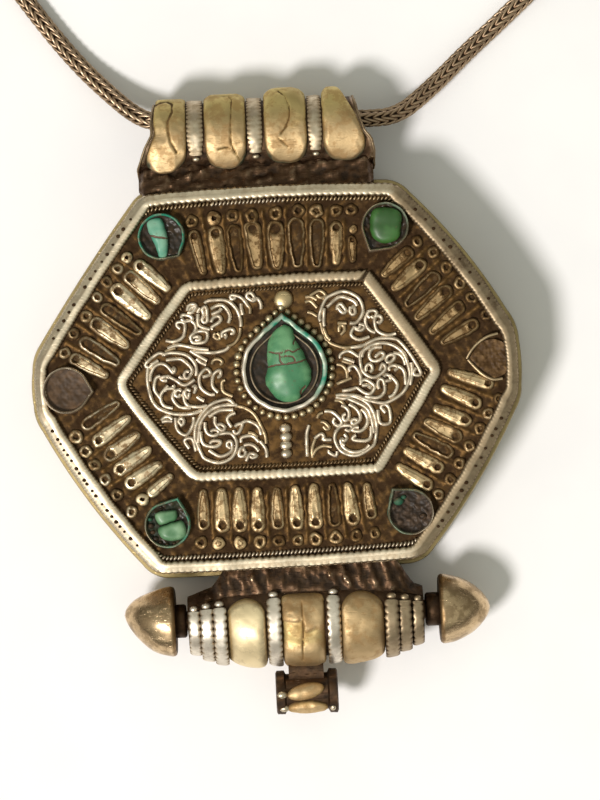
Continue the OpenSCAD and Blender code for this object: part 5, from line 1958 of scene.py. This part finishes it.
    def ring_pieces(self, first: int, last: int) -> Shape:
        """Return some of the rings: flat strips with serrated edges and a bead at the upper end.

        Args:
            first: Index of the first ring.
            last: Index after the last one.
        """
        wrap = self.axis.wrap
        shape = Shape()
        t = np.linspace(-1, 1, 11)[None, :]
        edge = np.abs(t) ** 4
        for x, reach, width in self.rings[first:last]:
            start = math.radians(26 if abs(x - 2.5) < 6 else 18)
            angle = np.linspace(start, -math.pi - start, 230)[:, None]
            gap = 1 - np.abs(np.sin(angle * reach * math.pi / 1.1)) ** 0.7
            across = x + t * (width * 0.5 - 0.12 * gap)
            lean = math.copysign(0.15, 2.5 - x) * (across - x)
            rough = 0.05 * ripple(wrap(across, angle, reach), 2.6, 191)
            top = reach + lean + 0.35 * self.facing_down(angle) - edge * (0.22 + 0.1 * gap) + rough
            shape.sheet(wrap(across, angle, self.above_floor(top, angle)),
                        wrap(across, angle, self.core_radius(x) - 0.12),
                        relief=np.clip(0.95 - edge * (0.35 + 0.9 * gap), 0, 1))
            spot = wrap(x, start + 0.1, reach - 0.25)
            shape.ball(spot, (width * 0.36, 0.55, 0.5), sides=12, relief=0.9)
        return shape

    def build(self) -> None:
        """Make the barrel's pieces."""
        place("barrel_core", self.body(), SOLDER, "barrel")
        place("barrel_saddle", self.saddle(), SOLDER, "barrel")
        # The left rings get the pale finish as a painted highlight, the right rings the dull one as painted
        # shade.
        place("barrel_rings_left", self.ring_pieces(0, 5), PALE_AND_HIGHLIT_RING, "barrel")
        place("barrel_rings_right", self.ring_pieces(5, 8), DULL_AND_SHADED, "barrel")
        for kind in self.lobes:
            place(f"barrel_lobe_{kind.name}_gilt", self.lobe(kind), kind.finish, f"barrel_lobe_{kind.name}")


@dataclass
class HangingTube:
    """The small open tube under the barrel, with two gilt ovals and beaded ends."""

    x: float = 2.4
    axis: Axis = Axis(-48.8, 7.6)
    bore: float = 2.2
    radius: float = 3.1
    length: float = 9.6
    # The ovals: angle and half spread round the tube, middle and half length along it, and tilt.
    oval_spans: tuple[tuple[float, ...], ...] = ((4.0, 25.0, 2.2, 2.85, 9.0), (-51.0, 26.0, 2.4, 3.1, 0.0))
    # The beads: place along the tube, angle round it and half width.
    bead_spots: tuple[Point3, ...] = ((-1.5, -3.0, 0.85), (-1.2, -47.0, 0.85), (6.3, -50.0, 0.5))

    def body(self) -> Shape:
        """Return the rough tube with its rolled ends, and its neck."""
        wrap, r, half = self.axis.wrap, self.radius, self.length / 2
        end = ((0.0, self.bore), (0.0, r - 0.1), (0.2, r + 0.3), (1.3, r + 0.3), (1.6, r - 0.25))
        table = np.array([*((inset - half, reach) for inset, reach in end), (0.0, r - 0.3),
                          *((half - inset, reach) for inset, reach in end[::-1])])
        x, radius = self.x + table[:, :1], table[:, 1:]
        angle = around(56)[None, :]
        rough = ripple(wrap(x, angle, radius), 1.3, 201)
        radius = radius + 0.09 * rough * (radius > self.bore + 0.05)
        shape = Shape().grid(wrap(x, angle, radius), loop_rows=True, relief=np.clip(0.35 + 0.3 * rough, 0, 1))
        section = ((-44.2, 5.6), (-44.2, 9.6), (-46.2, 9.8), (-47.2, 9.0), (-47.2, 6.2), (-46.2, 5.4))
        neck = smooth_line(section, 0.5, closed=True)
        places = np.linspace(self.x - 2.7, self.x + 2.7, 14)
        rows = [np.column_stack([np.full(len(neck), place), neck]) for place in places]
        return shape.grid(np.array(rows), caps=True, relief=0.3)

    def ovals(self) -> Shape:
        """Return the two gilt ovals."""
        wrap = self.axis.wrap
        shape = Shape()
        u, v = np.linspace(-1, 1, 34)[:, None], np.linspace(-1, 1, 20)[None, :]
        bow = np.sqrt(1 - (0.985 * u) ** 2)
        hump = np.sqrt(np.clip(1 - v**2 * 0.96, 0, 1)) * bow**0.5
        for middle, spread, x_middle, x_half, tilt in self.oval_spans:
            x, way = x_middle + x_half * u, np.radians(middle + spread * v * bow + tilt * u)
            top = self.radius - 0.2 + 0.85 * hump + 0.05 * ripple(wrap(x, way, self.radius), 1.4, 211)
            shape.sheet(wrap(x, way, np.minimum(top, 3.8)), wrap(x, way, self.radius - 0.4),
                        relief=np.clip(hump * 1.1, 0, 1))
        return shape

    def build(self) -> None:
        """Make the tube, its ovals and its beads."""
        place("hanging_tube_body", self.body(), SOLDER, "hanging_tube")
        place("hanging_tube_ovals", self.ovals(), GILT, "hanging_tube")
        beads = Shape()
        for x, way, wide in self.bead_spots:
            spot = self.axis.wrap(x, math.radians(way), self.radius + 0.05)
            beads.ball(spot, (wide, 0.62, 0.5), sides=12, relief=0.95)
        place("hanging_tube_beads", beads, BAND, "hanging_tube")


@dataclass
class LockPin:
    """The turning pin with a cone knob on each end."""

    axis: Axis = Axis(-37.0, 7.6)
    knob_r: float = 5.45
    knob_l: float = 7.95
    left_base: float = -17.3
    right_base: float = 23.4
    collar: float = 2.6
    rod: float = 1.5

    def knob(self, side: int) -> Shape:
        """Return one knob: a rounded cone with a hollow base and dents; the left one leans.

        Args:
            side: -1 for the left knob and 1 for the right one.
        """
        base = self.left_base if side < 0 else self.right_base
        t = np.concatenate([[0.0, 0.0, 0.015, 0.05], np.linspace(0.09, 1.0, 40)])[:, None]
        radius = self.knob_r * (1 - t**1.9) ** 0.64
        radius[:4, 0] = (self.collar - 0.2, self.knob_r * 0.88, self.knob_r * 0.95, self.knob_r * 0.985)
        x = base + side * t * self.knob_l
        x[0] += side * 0.35
        angle = around(72)[None, :]
        solid = self.axis.wrap(x, angle, radius)
        flats = 0.035 * np.cos(5 * angle + side) * smoothstep(t, 0.05, 0.4) * (1 - t)
        dents = 0.05 * ripple(solid, 3.8, 221 + side) + 0.02 * ripple(solid, 1.4, 231)
        wide = radius * (1 + flats * 0.6) + np.minimum(dents, 0.02) * smoothstep(t, 0.02, 0.1)
        points = self.axis.wrap(x, angle, wide)
        points[..., 1] += 1.3 * (side < 0) * t**1.5 * smoothstep(t, 0.1, 1.0)
        relief = 0.45 + 0.5 * smoothstep(t, 0.03, 0.12) + 2 * np.minimum(dents, 0)
        relief[:2] = ((0.05,), (0.15,))
        return Shape().grid(points, caps=True, relief=np.clip(relief, 0, 1))

    def rod_shape(self) -> Shape:
        """Return the rod and its two collars."""
        a, b, r = self.left_base, self.right_base, self.collar
        c, d = a + 1.6, b - 2.1
        profile = ((a - 0.3, r - 0.3), (a, r), (c - 0.25, r), (c, r - 0.25), (c, self.rod), (d, self.rod),
                   (d, r - 0.25), (d + 0.25, r), (b, r), (b + 0.3, r - 0.3))
        return self.axis.turned(profile, 40, 0.4)

    def build(self) -> None:
        """Make the pin and its knobs."""
        place("pin_and_collars", self.rod_shape(), SOLDER, "pin_rod", Body.PIN)
        for side, name in ((-1, "left"), (1, "right")):
            place(f"knob_{name}_cone", self.knob(side), KNOB, f"knob_{name}", Body.PIN)


@dataclass
class NeckChain:
    """The woven neck chain on its route, and the plain clasp that closes it."""

    core_r: float = 0.9
    crown_r: float = 1.62
    pitch: float = 1.34
    lean: float = 2.5
    wire: float = 0.27
    clasp_axis: Axis = Axis(238.0, 1.8)
    clasp_r: float = 1.75
    route: tuple[Point3, ...] = (
        (-4, 238, 1.8), (-8, 238, 1.8), (-14, 236.8, 1.6), (-24, 233, 1.4), (-38, 225, 1.4), (-51, 213, 1.4),
        (-61, 198, 1.4), (-68, 181, 1.4), (-72, 163, 1.4), (-72, 144, 1.4), (-69, 125, 1.4), (-63, 107, 1.4),
        (-55, 90, 1.4), (-45, 74, 1.4), (-35, 59, 1.4), (-29, 51, 1.6), (-24, 45.6, 3), (-20, 42, 4.9),
        (-17, 40.6, 5.8), (-12, 40.2, 6), (0, 40.1, 6), (12, 39.7, 5.9), (16, 39.5, 5.6), (21, 40.2, 4.3),
        (26, 43.8, 2.6), (32, 49.2, 1.6), (39, 55.2, 1.4), (50, 65, 1.4), (61, 76, 1.4), (71, 90, 1.4),
        (79, 106, 1.4), (84, 124, 1.4), (86, 143, 1.4), (84, 162, 1.4), (79, 180, 1.4), (71, 197, 1.4),
        (60, 212, 1.4), (47, 224, 1.4), (33, 232, 1.4), (22, 236.5, 1.6), (16, 238, 1.8), (12, 238, 1.8))

    def clasp(self) -> Shape:
        """Return the clasp, turned from rows of place along it, radius and relief."""
        r = self.clasp_r
        rows = ((-4.0, 1.45, 0.4), (-4.0, r - 0.1, 0.9), (-3.8, r, 0.95), (-2.4, r, 0.7),
                (-2.2, r - 0.25, 0.1), (-1.9, r, 0.7), (3.8, r, 0.8), (4.0, r - 0.2, 0.15), (4.2, r, 0.8),
                (9.9, r, 0.7), (10.2, r - 0.25, 0.1), (10.4, r, 0.7), (11.8, r, 0.95), (12.0, r - 0.1, 0.9),
                (12.0, 1.45, 0.4))
        relief = [high for _, _, high in rows]
        return self.clasp_axis.turned([row[:2] for row in rows], 40, relief, crease_deg=35.0)

    def build(self, weave: Grower) -> None:
        """Make the weave, its dark core and the clasp.

        Args:
            weave: Tree that weaves the chain along a route.
        """
        line = smooth_line(self.route, 2.5)
        place("chain_core", Shape().tube(line, self.core_r, relief=0.05), CHAIN, "chain")
        weave.lay("chain_weave", [line], CHAIN, "chain", Pitch=self.pitch, Core=self.core_r,
                  Crown=self.crown_r, Lean=self.lean, Wire=self.wire)
        place("clasp_barrel", self.clasp(), CLASP, "chain_clasp")


@dataclass
class Studio:
    """The pale floor, the soft light and the camera straight above the box."""

    centre: Point2 = (3.5, -3.69)
    distance: float = 600.0
    seen_height: float = 122.4
    level: float = 15.0
    roll_deg: float = -2.8
    sensor: float = 36.0
    floor_half: float = 6.0
    floor_z: float = -0.00002

    def floor(self) -> None:
        """Lay the floor just under the box; its half width and height are in metres."""
        mesh = bpy.data.meshes.new("floor")
        r, z = self.floor_half, self.floor_z
        mesh.from_pydata([(-r, -r, z), (r, -r, z), (r, r, z), (-r, r, z)], [], [(0, 1, 2, 3)])
        made = bpy.data.materials.new("floor_paper")
        made.use_nodes = True
        graph = Graph(made.node_tree)
        clouds = graph.noise(graph.put("ShaderNodeTexCoord").outputs["Object"], 40.0)
        tone = graph.mix(graph.span(clouds, 0.3, 0.7), (0.86, 0.85, 0.86), (0.9, 0.89, 0.89))
        graph.feed(made.node_tree.nodes["Principled BSDF"],
                   {"Base Color": tone, "Roughness": 0.75, "Specular IOR Level": 0.2})
        mesh.materials.append(made)
        link("floor", mesh)

    def light(self, name: str, spot: Point3, size: float, power: float, colour: Colour) -> None:
        """Hang a soft round light, aimed at the box.

        Args:
            name: Name of the light.
            spot: Where it hangs, in metres.
            size: Diameter, in metres.
            power: Power, in watts.
            colour: Colour of its light.
        """
        lamp = bpy.data.lights.new(name, "AREA")
        lamp.shape = "DISK"
        lamp.size = size
        lamp.energy = power
        lamp.color = colour
        holder = link(name, lamp)
        holder.location = spot
        holder.rotation_euler = (-Vector(spot)).to_track_quat("-Z", "Y").to_euler()

    def world(self) -> None:
        """Set the room light, and the pale backdrop that the camera sees."""
        world = bpy.data.worlds.new("room")
        world.use_nodes = True
        graph = Graph(world.node_tree)
        up = graph.part(graph.out("ShaderNodeTexCoord"), "Z")
        glow = graph.mix(graph.span(up, 0.05, 0.75), (0.13, 0.11, 0.08), (0.95, 0.97, 0.84))
        seen = graph.put("ShaderNodeLightPath").outputs["Is Camera Ray"]
        graph.feed(world.node_tree.nodes["Background"],
                   {"Color": graph.mix(seen, glow, (1.5, 1.49, 1.44)), "Strength": 0.56})
        bpy.context.scene.world = world

    def camera(self) -> None:
        """Hang the camera over the box, rolled as the photo is."""
        data = bpy.data.cameras.new("camera")
        data.sensor_fit = "VERTICAL"
        data.sensor_height = self.sensor
        data.lens = self.sensor * self.distance / self.seen_height
        data.clip_start, data.clip_end = 0.01, 20.0
        holder = link("camera", data)
        holder.location = Vector((*self.centre, self.level + self.distance)) * MM
        holder.rotation_euler = (0.0, 0.0, math.radians(self.roll_deg))
        bpy.context.scene.camera = holder

    def build(self) -> None:
        """Set up the studio."""
        self.floor()
        self.world()
        self.light("window", (-0.74, -0.62, 1.4), 0.36, 26.5, (1.0, 0.96, 0.93))
        self.camera()
        bpy.context.scene.view_settings.view_transform = "Standard"


def main() -> None:
    """Build the studio and every sub-assembly, in order."""
    logging.basicConfig(level=logging.INFO, format="%(name)s %(message)s")
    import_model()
    Studio().build()
    beads, wires, weave = bead_grower(), wire_grower(), weave_grower()
    Case(ribs=[rib for side in FRIEZE_SIDES for rib in side.ribs()]).build()
    for i, side in enumerate(FRIEZE_SIDES):
        side.build(100 * (i + 1))
    for setting in (*SETTINGS, CENTRE):
        setting.build()
    for stone in STONES:
        stone.build()
    Filigree().build(beads, wires)
    Ropes().build(beads)
    BackCover().build()
    Bail().build()
    Barrel().build()
    HangingTube().build()
    LockPin().build()
    NeckChain().build(weave)


if __name__ == "__main__":
    main()
